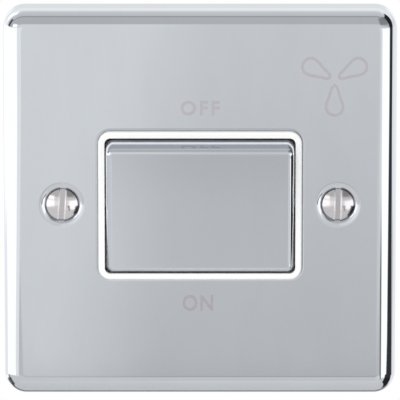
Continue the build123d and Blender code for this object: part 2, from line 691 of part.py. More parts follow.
def terminal_screws():
    """Six captive screws, backed out so that the wire holes are free."""
    tip_y = WIRE_Y + WIRE_RADIUS + TERMINAL_SCREW_FIT
    seat_y = CHAMBER_Y + TERMINAL_SCREW_BACKED_OUT
    screws = [terminal_screw(tip_y, seat_y, x, end * TERMINAL_Z) for x in POLE_X for end in (-1, 1)]
    return Compound(children=screws)


def base_housing():
    """The moulded base: a pocket for the insert's skirt, three contact bays and six terminal chambers."""
    base = slab(BASE_WIDTH, BASE_HEIGHT, BASE_CORNER, FLANGE_Y, BASE_REAR)
    rear_face = base.faces().sort_by(Axis.Y)[-1]
    base = fillet(rear_face.edges(), BASE_REAR_EDGE)
    base -= slab(
        TRIM_WIDTH + 2 * POCKET_GAP,
        TRIM_HEIGHT + 2 * POCKET_GAP,
        TRIM_CORNER + POCKET_GAP,
        FLANGE_Y - 1,
        POCKET_Y,
    )
    for x in POLE_X:
        base -= pole_cavities(x)
    for x, z in corners(BOSS_X, BOSS_Z):
        base -= peg(BOSS_RADIUS + BOSS_GAP, FLANGE_Y - 1, FLANGE_Y + BOSS_REACH + BOSS_GAP, x, z)
        base -= peg(BASE_SCREW_RADIUS + BASE_SCREW_HOLE_GAP, FLANGE_Y, BASE_REAR, x, z)
        head_hole = BASE_SCREW_HEAD_RADIUS + BASE_SCREW_HEAD_GAP
        base -= peg(head_hole, BASE_SCREW_SEAT, BASE_REAR + 1, x, z)
    for x in (-FIXING_X, FIXING_X):
        base -= dimple_back(x, DIMPLE_CLEARANCE)
    return base


def pole_cavities(x):
    """What one pole takes out of the base."""
    half_bay = BAY_WIDTH / 2
    cut = block((x - half_bay, x + half_bay), (POCKET_Y - 1, BAY_FLOOR_Y), (-BAY_END, BAY_END))
    cut += slab(
        BACK_POCKET_WIDTH,
        BACK_POCKET_HEIGHT,
        BACK_POCKET_CORNER,
        BASE_REAR - BACK_POCKET_DEPTH,
        BASE_REAR + 1,
        x,
    )
    half_chamber = TERMINAL_WIDTH / 2 + CHAMBER_GAP
    half_slot = STRIP_WIDTH / 2 + CHAMBER_GAP
    chamber_end = TERMINAL_END + CHAMBER_GAP
    outside = BASE_HEIGHT / 2
    for end in (-1, 1):
        span = sorted((end * CHAMBER_START, end * chamber_end))
        cut += block((x - half_chamber, x + half_chamber), (FLANGE_Y - 1, CHAMBER_Y), span)
        span = sorted((end * (BAY_END - 1), end * (CHAMBER_START + 1)))
        cut += block((x - half_slot, x + half_slot), (FLANGE_Y - 1, BAY_FLOOR_Y), span)
        cut += rod(ENTRY_RADIUS, (x, WIRE_Y, end * TERMINAL_Z), (x, WIRE_Y, end * (outside + 1)))
        cut += entry_flare(x, end, outside)
        cut += peg(ACCESS_RADIUS, CHAMBER_Y - 1, BASE_REAR + 1, x, end * TERMINAL_Z)
    return cut


def entry_flare(x, end, outside):
    """The funnel round a wire entry."""
    mouth = Plane(origin=(x, WIRE_Y, end * outside), z_dir=(0, 0, -end))
    wide = mouth * Circle(ENTRY_RADIUS + ENTRY_FLARE)
    narrow = mouth.offset(ENTRY_FLARE) * Circle(ENTRY_RADIUS)
    return loft([wide, narrow])


def base_screws():
    """Four screws from the back, through the base and into the insert's bosses."""
    screws = []
    head_y = BASE_SCREW_SEAT + BASE_SCREW_HEAD_HEIGHT
    half_width = BASE_SCREW_CROSS_WIDTH / 2
    half_length = BASE_SCREW_CROSS_LENGTH / 2
    cross_y = (head_y - BASE_SCREW_CROSS_DEPTH, head_y + 1)
    for x, z in corners(BOSS_X, BOSS_Z):
        screw = peg(BASE_SCREW_RADIUS, BASE_SCREW_SEAT - BASE_SCREW_LENGTH, BASE_SCREW_SEAT, x, z)
        screw += peg(BASE_SCREW_HEAD_RADIUS, BASE_SCREW_SEAT, head_y, x, z)
        screw -= block((x - half_width, x + half_width), cross_y, (z - half_length, z + half_length))
        screw -= block((x - half_length, x + half_length), cross_y, (z - half_width, z + half_width))
        screws.append(screw)
    return Compound(children=screws)


def earth_bracket():
    """A folded steel bracket welded inside the plate, with a shelf for the earth terminal."""
    half = EARTH_BRACKET_WIDTH / 2
    shelf_low = EARTH_Z - EARTH_SHELF / 2
    shelf_high = EARTH_Z + EARTH_SHELF / 2
    shelf_front = EARTH_SHELF_REAR - EARTH_BRACKET_SHEET
    x = (EARTH_X - half, EARTH_X + half)
    foot = block(x, (INNER_Y, INNER_Y + EARTH_BRACKET_SHEET), (shelf_low, shelf_low + EARTH_FOOT))
    riser = block(x, (INNER_Y, EARTH_SHELF_REAR), (shelf_low, shelf_low + EARTH_BRACKET_SHEET))
    shelf = block(x, (shelf_front, EARTH_SHELF_REAR), (shelf_low, shelf_high))
    bracket = foot + riser + shelf
    hole = EARTH_SPIGOT_RADIUS + TIP_FIT
    return bracket - peg(hole, shelf_front - 1, EARTH_SHELF_REAR + 1, EARTH_X, EARTH_Z)


def earth_terminal():
    """A brass block on the bracket's shelf, held by its peened spigot."""
    shelf_front = EARTH_SHELF_REAR - EARTH_BRACKET_SHEET
    half_x, half_z = EARTH_BLOCK_WIDTH / 2, EARTH_BLOCK_HEIGHT / 2
    rear = EARTH_SHELF_REAR + EARTH_BLOCK_DEPTH
    wire_y = EARTH_SHELF_REAR + EARTH_WIRE_BACK
    body = block(
        (EARTH_X - half_x, EARTH_X + half_x),
        (EARTH_SHELF_REAR, rear),
        (EARTH_Z - half_z, EARTH_Z + half_z),
    )
    body = chamfer(body.edges().filter_by(Axis.Y), TERMINAL_CHAMFER)
    body += peg(EARTH_SPIGOT_RADIUS, shelf_front, EARTH_SHELF_REAR, EARTH_X, EARTH_Z)
    body += peg(EARTH_SPIGOT_HEAD_RADIUS, shelf_front - EARTH_SPIGOT_HEAD, shelf_front, EARTH_X, EARTH_Z)
    ends = (EARTH_X - half_x - 1, EARTH_X + half_x + 1)
    body -= rod(EARTH_WIRE_RADIUS, (ends[0], wire_y, EARTH_Z), (ends[1], wire_y, EARTH_Z))
    return body - peg(TERMINAL_SCREW_RADIUS + TERMINAL_SCREW_FIT, wire_y, rear + 1, EARTH_X, EARTH_Z)


def earth_screw():
    """The earth terminal's screw, backed out like the others."""
    tip_y = EARTH_SHELF_REAR + EARTH_WIRE_BACK + EARTH_WIRE_RADIUS + TERMINAL_SCREW_FIT
    seat_y = EARTH_SHELF_REAR + EARTH_BLOCK_DEPTH + TERMINAL_SCREW_BACKED_OUT
    return terminal_screw(tip_y, seat_y, EARTH_X, EARTH_Z)


def build():
    """Every piece by name."""
    pieces = {
        "front_plate": front_plate(),
        "insert_frame": insert_frame(),
        "clamp_nuts": clamp_nuts(),
        "fixing_screws": fixing_screws(),
        "rocker_cap": rocker_cap(),
        "rocker_body": rocker_body(),
        "base_housing": base_housing(),
        "base_screws": base_screws(),
        "terminal_screws": terminal_screws(),
        "earth_bracket": earth_bracket(),
        "earth_terminal": earth_terminal(),
        "earth_screw": earth_screw(),
    }
    for number, x in enumerate(POLE_X, 1):
        pieces[f"plunger_{number}"] = plunger(x)
        pieces[f"plunger_spring_{number}"] = plunger_spring(x)
        pieces[f"contact_arm_{number}"] = contact_arm(x)
        pieces[f"moving_tip_{number}"] = moving_tip(x)
        pieces[f"fixed_tip_{number}"] = fixed_tip(x)
        pieces[f"load_terminal_{number}"] = load_terminal(x)
        pieces[f"supply_terminal_{number}"] = supply_terminal(x)
    return pieces


os.makedirs("parts", exist_ok=True)
for name, piece in build().items():
    export_step(piece, f"parts/{name}.step")
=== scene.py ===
# %% [markdown]
# # A fan isolator switch
# The switch is a square metal plate with a rolled edge, a wide metal-capped rocker in a white surround, and
# a moulded base behind it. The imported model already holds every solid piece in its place, in metres. This
# script gives the pieces their finishes, redraws those whose reflections must run smoothly, and adds what a
# solid model leaves out: the screws' threads and slots, the printed marks and the coiled wire of the
# springs.

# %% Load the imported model
import json
import math

import bmesh
import bpy
from mathutils import Matrix, Vector


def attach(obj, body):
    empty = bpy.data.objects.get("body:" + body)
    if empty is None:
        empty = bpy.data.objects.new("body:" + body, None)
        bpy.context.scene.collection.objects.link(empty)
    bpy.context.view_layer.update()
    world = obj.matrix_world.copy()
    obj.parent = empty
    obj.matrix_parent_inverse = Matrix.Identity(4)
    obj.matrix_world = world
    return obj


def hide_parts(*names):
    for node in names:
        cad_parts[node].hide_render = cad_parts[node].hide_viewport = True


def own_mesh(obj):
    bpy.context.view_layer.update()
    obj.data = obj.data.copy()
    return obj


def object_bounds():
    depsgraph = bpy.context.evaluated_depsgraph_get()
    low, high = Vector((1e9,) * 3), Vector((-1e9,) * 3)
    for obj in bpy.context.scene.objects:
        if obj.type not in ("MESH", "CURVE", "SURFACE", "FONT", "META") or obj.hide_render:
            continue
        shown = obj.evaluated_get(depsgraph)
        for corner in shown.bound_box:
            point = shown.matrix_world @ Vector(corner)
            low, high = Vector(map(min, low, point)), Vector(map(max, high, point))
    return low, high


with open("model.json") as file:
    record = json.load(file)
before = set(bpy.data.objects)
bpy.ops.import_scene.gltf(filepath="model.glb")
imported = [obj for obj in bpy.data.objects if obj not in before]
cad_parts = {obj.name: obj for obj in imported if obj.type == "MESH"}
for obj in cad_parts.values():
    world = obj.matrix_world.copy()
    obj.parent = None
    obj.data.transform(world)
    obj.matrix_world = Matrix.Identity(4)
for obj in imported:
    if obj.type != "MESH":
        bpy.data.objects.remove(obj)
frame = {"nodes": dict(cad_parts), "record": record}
cad_low, cad_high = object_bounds()
MM = 0.001
size = (cad_high - cad_low) / MM
print(f"model: {len(frame['nodes'])} pieces, {size.x:.1f} x {size.y:.1f} x {size.z:.1f} mm")

# %% [markdown]
# A material or a shape rule is a graph of nodes. Wiring one by hand in a script hides the sums behind the
# links, so two small classes let the sums be read as sums. A Term is a number that runs down a link, and
# plain arithmetic on it adds Math nodes. A Board is the graph being wired, and its node method adds any
# other kind of node.


# %% Terms and boards
class Term:
    """A number that runs down a link. Arithmetic on it adds Math nodes."""

    def __init__(self, board, socket):
        self.board = board
        self.socket = socket

    def __add__(self, other):
        return self.board.maths("ADD", self, other)

    def __sub__(self, other):
        return self.board.maths("SUBTRACT", self, other)

    def __rsub__(self, other):
        return self.board.maths("SUBTRACT", other, self)

    def __mul__(self, other):
        return self.board.maths("MULTIPLY", self, other)

    def __truediv__(self, other):
        return self.board.maths("DIVIDE", self, other)

    __radd__ = __add__
    __rmul__ = __mul__


class Board:
    """A graph that is being wired."""

    def __init__(self, tree):
        self.tree = tree
        tree.nodes.clear()

    def node(self, kind, settings=None, sockets=None):
        """Adds a node. Settings come first, then what its sockets hold or are linked to."""
        made = self.tree.nodes.new(kind)
        for name, value in (settings or {}).items():
            setattr(made, name, value)
        for key, value in (sockets or {}).items():
            self.feed(made.inputs[key], value)
        return made

    def feed(self, socket, value):
        """Links a term or a socket to a socket, or sets its value."""
        source = value.socket if isinstance(value, Term) else value
        if isinstance(source, bpy.types.NodeSocket):
            self.tree.links.new(source, socket)
        else:
            socket.default_value = source

    def term(self, kind, settings=None, sockets=None, output=0):
        """Adds a node and returns one of its outputs as a term."""
        return Term(self, self.node(kind, settings, sockets).outputs[output])

    def maths(self, operation, *values):
        """Adds a Math node."""
        return self.term("ShaderNodeMath", {"operation": operation}, dict(enumerate(values)))

    def step(self, value, low, high, start=0.0, end=1.0):
        """A soft step from start to end as the value goes from low to high."""
        sockets = {"Value": value, "From Min": low, "From Max": high, "To Min": start, "To Max": end}
        return self.term("ShaderNodeMapRange", {"interpolation_type": "SMOOTHSTEP"}, sockets)

    def band(self, value, low, high, soft):
        """One between low and high and nothing outside, with soft edges."""
        rising = self.step(value, low - soft, low + soft)
        return rising * self.step(value, high - soft, high + soft, 1.0, 0.0)


print("the helpers for wiring are ready")

# %% [markdown]
# Every finish reads the piece's own coordinates, so a pattern stays with the metal when the rocker moves.
# Metal and plastic straight from the works are never quite even: plating carries faint waves and wiping
# marks, and a moulding has a fine grain from the tool. Each finish below has a coarse pattern that changes
# the gloss a little and a fine one that tilts the surface a hair's breadth.


# %% A board for a finish
def finish_board(name):
    """A new material, its board, its main shader and the coordinates of the piece."""
    material = bpy.data.materials.new(name)
    material.use_nodes = True
    board = Board(material.node_tree)
    shader = board.node("ShaderNodeBsdfPrincipled")
    output = board.node("ShaderNodeOutputMaterial")
    board.feed(output.inputs["Surface"], shader.outputs["BSDF"])
    place = board.node("ShaderNodeTexCoord").outputs["Object"]
    return material, board, shader, place


def noise(board, place, scale, detail=2.0, roughness=0.5, stretch=None):
    """Cloudy noise with a number of waves a metre, stretched along an axis where that is asked for."""
    if stretch:
        stretched = {"Vector": place, "Scale": stretch}
        place = board.node("ShaderNodeMapping", {"vector_type": "POINT"}, stretched).outputs["Vector"]
    sockets = {"Vector": place, "Scale": scale, "Detail": detail, "Roughness": roughness}
    return board.term("ShaderNodeTexNoise", {}, sockets, "Fac")


def tint(board, amount, colour_a, colour_b):
    """A mix of two colours."""
    mix = board.node("ShaderNodeMix", {"data_type": "RGBA"})
    board.feed(mix.inputs["Factor"], amount)
    for key, colour in ((6, colour_a), (7, colour_b)):
        board.feed(mix.inputs[key], colour if isinstance(colour, bpy.types.NodeSocket) else (*colour, 1.0))
    return mix.outputs[2]


def relief(board, height, depth):
    """A bump of a depth in metres."""
    sockets = {"Height": height, "Distance": depth, "Strength": 1.0}
    return board.node("ShaderNodeBump", {}, sockets).outputs["Normal"]


print("materials so far:", len(bpy.data.materials))

# %% [markdown]
# Polished chrome is nearly a mirror, so almost all of its look is the studio around it. What is left are
# things a mirror shows: a slow unevenness of the pressed sheet, fine wiping marks that change the gloss and
# hardly the colour, and a grain of the plating that is too small to see as more than a softness.


# %% Bright plating
def bright_plating(name, colour, shade, gloss, wave, marks=None):
    """Chrome or bright nickel on metal. Gloss is its roughness and wave the depth of its unevenness.

    Marks is a function that lays marks of use and painted light over the plated colour. It gives back the new
    colour and how scuffed and painted bright each place is.
    """
    material, board, shader, place = finish_board(name)
    wiped = noise(board, place, 90.0, 4.0, 0.6, (1.0, 1.0, 0.35))
    specks = noise(board, place, 1400.0, 2.0, 0.5)
    slow = noise(board, place, 28.0, 1.0, 0.4)
    plated = tint(board, board.step(wiped, 0.35, 0.75), colour, shade)
    polish = gloss + board.step(wiped, 0.45, 0.8) * (0.5 * gloss) + specks * 0.01
    if marks:
        plated, scuffed_and_highlit = marks(board, place, specks, plated)
        polish = polish + scuffed_and_highlit * 0.3
    board.feed(shader.inputs["Base Color"], plated)
    board.feed(shader.inputs["Roughness"], polish)
    board.feed(shader.inputs["Normal"], relief(board, slow + specks * 0.004, wave))
    shader.inputs["Metallic"].default_value = 1.0
    return material


plate_chrome = bright_plating("plate_chrome", (0.77, 0.808, 0.855), (0.75, 0.785, 0.83), 0.03, 0.00001)
cap_chrome = bright_plating("cap_chrome", (0.775, 0.81, 0.862), (0.755, 0.79, 0.837), 0.03, 0.00001)
print("bright platings:", plate_chrome.name, cap_chrome.name)

# %% [markdown]
# A fixing screw's finish holds painted light. The ring where its head sinks into the dimple is painted dark
# as shade, the lips of its slot are scuffed rougher and painted bright as a highlight, and the slot's floor
# is painted darker as shade. Each could be a material of its own on its own faces, but all three follow plain
# measures, so sums on the place draw them in one finish: how far a point is from the screw's own line, and
# how far from the middle of its slot. The two slots lean, as they were left.

# %% The screws' heads and their marks
FIXING_X = 30.15
HEAD = 3.5
SLOT_WIDTH = 1.1
SLOT_BREAK = 0.3
SLOT_LEANS = (3.7, 0.9)

# Where each mark starts and ends and how soft it is, from the screw's line or the middle of its slot
# The ring where a head sinks into its dimple is painted dark as shade, and it leans a little with height
CREVICE_SHADE_RING = (HEAD - 0.12, HEAD + 0.2, 0.08)
CREVICE_SHADE_LEAN = 0.04
# The lips' band is scuffed rougher and painted bright as a highlight
LIPS = (SLOT_WIDTH / 2 - 0.03, SLOT_WIDTH / 2 + SLOT_BREAK + 0.03, 0.04)
LIPS_END = (HEAD - 0.1, HEAD - 0.3)
# The slot's floor is painted darker as shade
SLOT_FLOOR_SHADE = (SLOT_WIDTH / 2 - 0.01, SLOT_WIDTH / 2 - 0.05)
# The next three colours are painted shade for the ring, a painted highlight for the lips and painted shade
# for the slot's floor
CREVICE_SHADE_COLOUR = (0.06, 0.06, 0.065)
LIP_HIGHLIGHT_COLOUR = (0.97, 0.95, 0.96)
SLOT_FLOOR_SHADE_COLOUR = (0.45, 0.43, 0.45)


def screw_marks(board, place, specks, plated):
    """Painted shade round both screws' heads, scuffed lips with a painted highlight, and painted shade on the
    slots' floors, in millimetres.
    """
    axes = board.node("ShaderNodeSeparateXYZ", {}, {"Vector": place}).outputs
    across, z = [Term(board, axes[name]) / MM for name in "XZ"]
    x = board.maths("ABSOLUTE", across) - FIXING_X
    from_line = board.maths("SQRT", x * x + z * z)
    # Painted shade in the ring round the head
    crevice_shade = board.band(from_line - z * CREVICE_SHADE_LEAN, *CREVICE_SHADE_RING)
    plated = tint(board, crevice_shade * (0.5 + specks * 0.3), plated, CREVICE_SHADE_COLOUR)
    at_right = board.step(across, -1.0, 1.0)
    left_slope, right_slope = [math.tan(math.radians(lean)) for lean in SLOT_LEANS]
    slope = left_slope * (1 - at_right) + right_slope * at_right
    from_slot = board.maths("ABSOLUTE", across - (at_right * 2 - 1) * FIXING_X - z * slope)
    # The slot's lips are scuffed rougher and painted near white as a highlight
    scuffed_and_highlit = board.band(from_slot, *LIPS) * board.step(from_line, *LIPS_END)
    plated = tint(board, scuffed_and_highlit, plated, LIP_HIGHLIGHT_COLOUR)
    # Painted shade on the slot's floor
    plated = tint(board, board.step(from_slot, *SLOT_FLOOR_SHADE) * 0.35, plated, SLOT_FLOOR_SHADE_COLOUR)
    return plated, scuffed_and_highlit


screw_colours = ((0.80, 0.78, 0.79), (0.74, 0.71, 0.74))
screw_chrome = bright_plating("screw_chrome", *screw_colours, 0.13, 0.00002, screw_marks)
print("the screws' plating:", screw_chrome.name)

# %% [markdown]
# The white surround and the rocker's inside are glossy urea mouldings. The base is the same material with a
# duller surface and a fine spark grain. A clear gloss over a matt colour is what a Principled shader does
# by itself, so the patterns only have to bring the faint clouding of the powder and the grain of the tool.


# %% Mouldings
def moulding(name, colour, shade, gloss, grain):
    """A moulded plastic. Gloss is its roughness and grain the depth of its surface texture."""
    material, board, shader, place = finish_board(name)
    cloud = noise(board, place, 60.0, 3.0, 0.55)
    fine = noise(board, place, 3200.0, 2.0, 0.6)
    board.feed(shader.inputs["Base Color"], tint(board, board.step(cloud, 0.3, 0.8), colour, shade))
    board.feed(shader.inputs["Roughness"], gloss + board.step(cloud, 0.4, 0.8) * 0.05)
    board.feed(shader.inputs["Normal"], relief(board, fine + cloud * 0.3, grain))
    shader.inputs["IOR"].default_value = 1.54
    return material


white_moulding = moulding("white_moulding", (0.93, 0.93, 0.92), (0.905, 0.91, 0.905), 0.12, 0.000002)
rocker_moulding = moulding("rocker_moulding", (0.92, 0.92, 0.91), (0.89, 0.89, 0.885), 0.2, 0.000004)
base_moulding = moulding("base_moulding", (0.86, 0.86, 0.84), (0.82, 0.82, 0.80), 0.42, 0.00002)
plunger_nylon = moulding("plunger_nylon", (0.20, 0.20, 0.21), (0.16, 0.16, 0.17), 0.35, 0.00001)
print("mouldings:", white_moulding.name, rocker_moulding.name, base_moulding.name, plunger_nylon.name)

# %% [markdown]
# The hidden metal pieces are cut, pressed or drawn, and left as they come. Brass bar carries turning and
# sawing lines and darkens in patches, zinc has a bluish bloom, and silver tips dull where they were
# pressed. Lines are noise that is stretched along one axis.


# %% Workshop metals
def workshop_metal(name, colour, shade, gloss, lines, bloom):
    """A plain metal with tool lines. Lines stretches them, and bloom is where its darker patches begin."""
    material, board, shader, place = finish_board(name)
    patches = noise(board, place, 220.0, 4.0, 0.65)
    drawn = noise(board, place, 2600.0, 2.0, 0.7, lines)
    darkened = board.step(patches, bloom, bloom + 0.3)
    board.feed(shader.inputs["Base Color"], tint(board, darkened, colour, shade))
    board.feed(shader.inputs["Roughness"], gloss + patches * 0.15 + drawn * 0.06)
    board.feed(shader.inputs["Normal"], relief(board, drawn + patches * 0.5, 0.00001))
    shader.inputs["Metallic"].default_value = 1.0
    return material


EVEN = (1.0, 1.0, 1.0)
ALONG_X = (0.08, 1.0, 1.0)
ALONG_Y = (1.0, 0.1, 1.0)
ALONG_Z = (1.0, 1.0, 0.08)
zinc = workshop_metal("zinc", (0.66, 0.66, 0.63), (0.52, 0.53, 0.54), 0.28, EVEN, 0.5)
brass = workshop_metal("brass", (0.80, 0.62, 0.30), (0.62, 0.44, 0.19), 0.22, ALONG_X, 0.48)
copper_alloy = workshop_metal("copper_alloy", (0.80, 0.50, 0.34), (0.60, 0.34, 0.22), 0.24, ALONG_Z, 0.5)
silver = workshop_metal("silver", (0.87, 0.86, 0.84), (0.70, 0.68, 0.64), 0.26, EVEN, 0.52)
spring_steel = workshop_metal("spring_steel", (0.56, 0.56, 0.57), (0.36, 0.36, 0.38), 0.25, ALONG_Y, 0.5)
print("workshop metals:", zinc.name, brass.name, copper_alloy.name, silver.name, spring_steel.name)

# %% [markdown]
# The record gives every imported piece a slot, which says what it is made of. One table from slot to finish
# dresses them all, and the pieces that are redrawn further on wear the same finishes.

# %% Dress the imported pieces
FINISHES = {
    "plate": plate_chrome,
    "cap": cap_chrome,
    "fixing_screw": screw_chrome,
    "insert": white_moulding,
    "rocker": rocker_moulding,
    "base": base_moulding,
    "zinc": zinc,
    "terminal": brass,
    "plunger": plunger_nylon,
    "spring": spring_steel,
    "contact_arm": copper_alloy,
    "contact_tip": silver,
}
for part in frame["record"]["subparts"]:
    mesh = frame["nodes"][part["node"]].data
    mesh.materials.clear()
    mesh.materials.append(FINISHES[part["material_slot"]])

# %% [markdown]
# A pressed plate is one section wrapped round a square with rounded corners: the flat, the roll, the edge
# and the inside of the sheet. The same rule gives the window's rounded edge, and with a square of no size
# it gives turned shapes such as the dimples and the screws' heads. So one Geometry Nodes tree does them
# all. It reads the section from the object's own points, as a distance from the square and a level along Y,
# and bends a grid round the square.


# %% The wrapping tree
def new_tree(name, inputs):
    """An empty Geometry Nodes tree with named inputs, as names, socket types and values."""
    tree = bpy.data.node_groups.new(name, "GeometryNodeTree")
    tree.interface.new_socket("Geometry", in_out="INPUT", socket_type="NodeSocketGeometry")
    for label, kind, value in inputs:
        socket = tree.interface.new_socket(label, in_out="INPUT", socket_type=kind)
        if value is not None:
            socket.default_value = value
    tree.interface.new_socket("Geometry", in_out="OUTPUT", socket_type="NodeSocketGeometry")
    board = Board(tree)
    return tree, board, board.node("NodeGroupInput").outputs


def close_tree(board, geometry, material, sharp=30.0):
    """Ends a tree: faces are smooth with sharp edges past an angle, and meshes are real, in one material."""
    faces = {"Geometry": geometry, "Shade Smooth": True}
    smooth = board.node("GeometryNodeSetShadeSmooth", {"domain": "FACE"}, faces)
    angle = board.node("GeometryNodeInputMeshEdgeAngle").outputs["Unsigned Angle"]
    gentle = board.node("FunctionNodeCompare", {"operation": "LESS_THAN"}, {0: angle, 1: math.radians(sharp)})
    edges = board.node("GeometryNodeSetShadeSmooth", {"domain": "EDGE"}, {"Geometry": smooth.outputs[0]})
    board.feed(edges.inputs["Shade Smooth"], gentle.outputs[0])
    real = board.node("GeometryNodeRealizeInstances", {}, {"Geometry": edges.outputs[0]})
    dressed = board.node("GeometryNodeSetMaterial", {}, {"Geometry": real.outputs[0]})
    board.feed(dressed.inputs["Material"], material)
    end = board.node("NodeGroupOutput")
    board.feed(end.inputs[0], dressed.outputs[0])


def xyz(board, x, y, z):
    """Three terms as a vector."""
    return board.node("ShaderNodeCombineXYZ", {}, {"X": x, "Y": y, "Z": z}).outputs[0]


def numbered_grid(board, columns, rows):
    """A grid, with the row and the column of each of its points."""
    grid = board.node("GeometryNodeMeshGrid", {}, {"Vertices X": columns, "Vertices Y": rows})
    index = board.term("GeometryNodeInputIndex")
    row = board.maths("FLOORED_MODULO", index, rows)
    column = board.maths("FLOOR", (index + 0.5) / rows)
    return grid.outputs["Mesh"], row, column


def bent_grid(board, grid, place, distance):
    """A grid with its points put in their places, and those merged that meet within a distance."""
    bent = board.node("GeometryNodeSetPosition", {}, {"Geometry": grid, "Position": place})
    sockets = {"Geometry": bent.outputs[0], "Distance": distance}
    return board.node("GeometryNodeMergeByDistance", {}, sockets).outputs[0]


def wrapping_tree():
    """Wraps the object's own points, read as distance and level, round a rounded rectangle."""
    tree, board, given = new_tree(
        "wrap_section",
        [
            ("Half width", "NodeSocketFloat", 0.0),
            ("Half height", "NodeSocketFloat", 0.0),
            ("Corner steps", "NodeSocketInt", 16),
            ("Material", "NodeSocketMaterial", None),
        ],
    )
    section = given["Geometry"]
    counted = {"Geometry": section}
    rows = board.term("GeometryNodeAttributeDomainSize", {"component": "MESH"}, counted, "Point Count")
    steps = Term(board, given["Corner steps"])
    grid, row, column = numbered_grid(board, (steps + 1) * 4 + 1, rows)
    corner = board.maths("FLOOR", (column + 0.5) / (steps + 1))
    quarter = math.pi / 2
    turn = (corner + (column - corner * (steps + 1)) / steps) * quarter
    middle = (corner + 0.5) * quarter
    point = board.node("GeometryNodeInputPosition").outputs[0]
    sample = board.node("GeometryNodeSampleIndex", {"data_type": "FLOAT_VECTOR", "domain": "POINT"})
    board.feed(sample.inputs["Geometry"], section)
    board.feed(sample.inputs["Value"], point)
    board.feed(sample.inputs["Index"], row)
    parts = board.node("ShaderNodeSeparateXYZ", {}, {"Vector": sample.outputs["Value"]}).outputs
    reach, level = Term(board, parts["X"]), parts["Y"]
    across = board.maths("SIGN", board.maths("COSINE", middle)) * Term(board, given["Half width"])
    upward = board.maths("SIGN", board.maths("SINE", middle)) * Term(board, given["Half height"])
    x = across + reach * board.maths("COSINE", turn)
    z = upward + reach * board.maths("SINE", turn)
    shape = bent_grid(board, grid, xyz(board, x, level, z), 1e-6)
    close_tree(board, shape, given["Material"])
    return tree


WRAPPING = wrapping_tree()
print("wrapping tree:", len(WRAPPING.nodes), "nodes")

# %% [markdown]
# A tree becomes a plain mesh here: the object gets the modifier, its inputs are set by the sockets'
# identifiers, and the evaluated result is kept as a new mesh. The modifier goes, because the export and the
# poses need plain meshes. Points of a section are written in millimetres, which is how the real drawing has
# them.


# %% Bake a tree
def baked(name, mesh, tree, values):
    """The plain mesh that a tree makes of a mesh."""
    holder = bpy.data.objects.new(name, mesh)
    bpy.context.scene.collection.objects.link(holder)
    modifier = holder.modifiers.new("shape", "NODES")
    modifier.node_group = tree
    for item in tree.interface.items_tree:
        if item.in_out == "INPUT" and item.name in values:
            modifier[item.identifier] = values[item.name]
    seen = holder.evaluated_get(bpy.context.evaluated_depsgraph_get())
    result = bpy.data.meshes.new_from_object(seen)
    bpy.data.objects.remove(holder)
    return result


def section_mesh(points):
    """A section as a chain of points: distance and level, in millimetres."""
    mesh = bpy.data.meshes.new("section")
    edges = [(i, i + 1) for i in range(len(points) - 1)]
    mesh.from_pydata([(reach * MM, level * MM, 0.0) for reach, level in points], edges, [])
    return mesh


def wrapped(points, half_width=0.0, half_height=0.0, x=0.0, z=0.0, steps=16):
    """A section wrapped round a rounded rectangle about (x, z)."""
    values = {"Half width": half_width * MM, "Half height": half_height * MM, "Corner steps": steps}
    mesh = baked("section", section_mesh(points), WRAPPING, values)
    mesh.transform(Matrix.Translation((x * MM, 0.0, z * MM)))
    return mesh


def arc(centre, radius, start, end, count):
    """Points of an arc in a section. Zero degrees points to the front, and 90 away from the middle."""
    turns = [math.radians(start + (end - start) * i / count) for i in range(count + 1)]
    return [(centre[0] + radius * math.sin(t), centre[1] - radius * math.cos(t)) for t in turns]


def piece(name, mesh, body, replaced=()):
    """A finished piece: its mesh in place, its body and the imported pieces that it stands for."""
    made = bpy.data.objects.new(name, mesh)
    bpy.context.scene.collection.objects.link(made)
    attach(made, body)
    if replaced:
        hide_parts(*replaced)
    return made


trial = wrapped([(1.0, 0.0), (2.0, 0.0)], 5.0, 5.0)
print("a trial ring has", len(trial.polygons), "faces")

# %% [markdown]
# The plate is pressed from 1 mm sheet: the edge rolls round a quarter circle, the window's edge is rounded
# by the punch, and the two dimples for the screws are pressed in after it, so their rims are soft. Small
# support points next to each roll keep the flat truly flat, because smooth shading averages the faces that
# meet at a point. The flats themselves are filled between the wrapped parts, since a flat needs no points
# inside it.

# %% The plate's sizes and sections
PLATE_HALF = 43.0
FACE = -9.5
SHEET = 1.0
INNER = FACE + SHEET
ROLL = 4.3
FACE_CORNER = 0.5
CORE = PLATE_HALF - ROLL - FACE_CORNER
BREAK = 0.12
SUPPORT = 0.3
ROLL_SUPPORT = 0.2
DIMPLE = 4.0
DIMPLE_LIP = 2.4
HOLE = 2.1

rim_section = [(FACE_CORNER - SUPPORT, FACE)]
rim_section += arc((FACE_CORNER, FACE + ROLL), ROLL, 0, 90, 32)
rim_section += [(FACE_CORNER + ROLL, FACE + ROLL + ROLL_SUPPORT), (FACE_CORNER + ROLL, -BREAK)]
rim_section += [(FACE_CORNER + ROLL - BREAK, 0.0), (FACE_CORNER + ROLL - SHEET + BREAK, 0.0)]
rim_section += [(FACE_CORNER + ROLL - SHEET, -BREAK)]
rim_section += arc((FACE_CORNER, FACE + ROLL), ROLL - SHEET, 90, 0, 12)
rim_section += [(FACE_CORNER - SUPPORT, INNER)]

WINDOW_CORE = (19.55, 13.8)
WINDOW_CORNER = 2.75
WINDOW_EDGE = 0.3
WINDOW_SUPPORT = 0.25
window_section = [(WINDOW_CORNER + WINDOW_EDGE + WINDOW_SUPPORT, FACE)]
window_section += arc((WINDOW_CORNER + WINDOW_EDGE, FACE + WINDOW_EDGE), WINDOW_EDGE, 0, -90, 10)
window_section += [(WINDOW_CORNER, INNER), (WINDOW_CORNER + SUPPORT, INNER)]

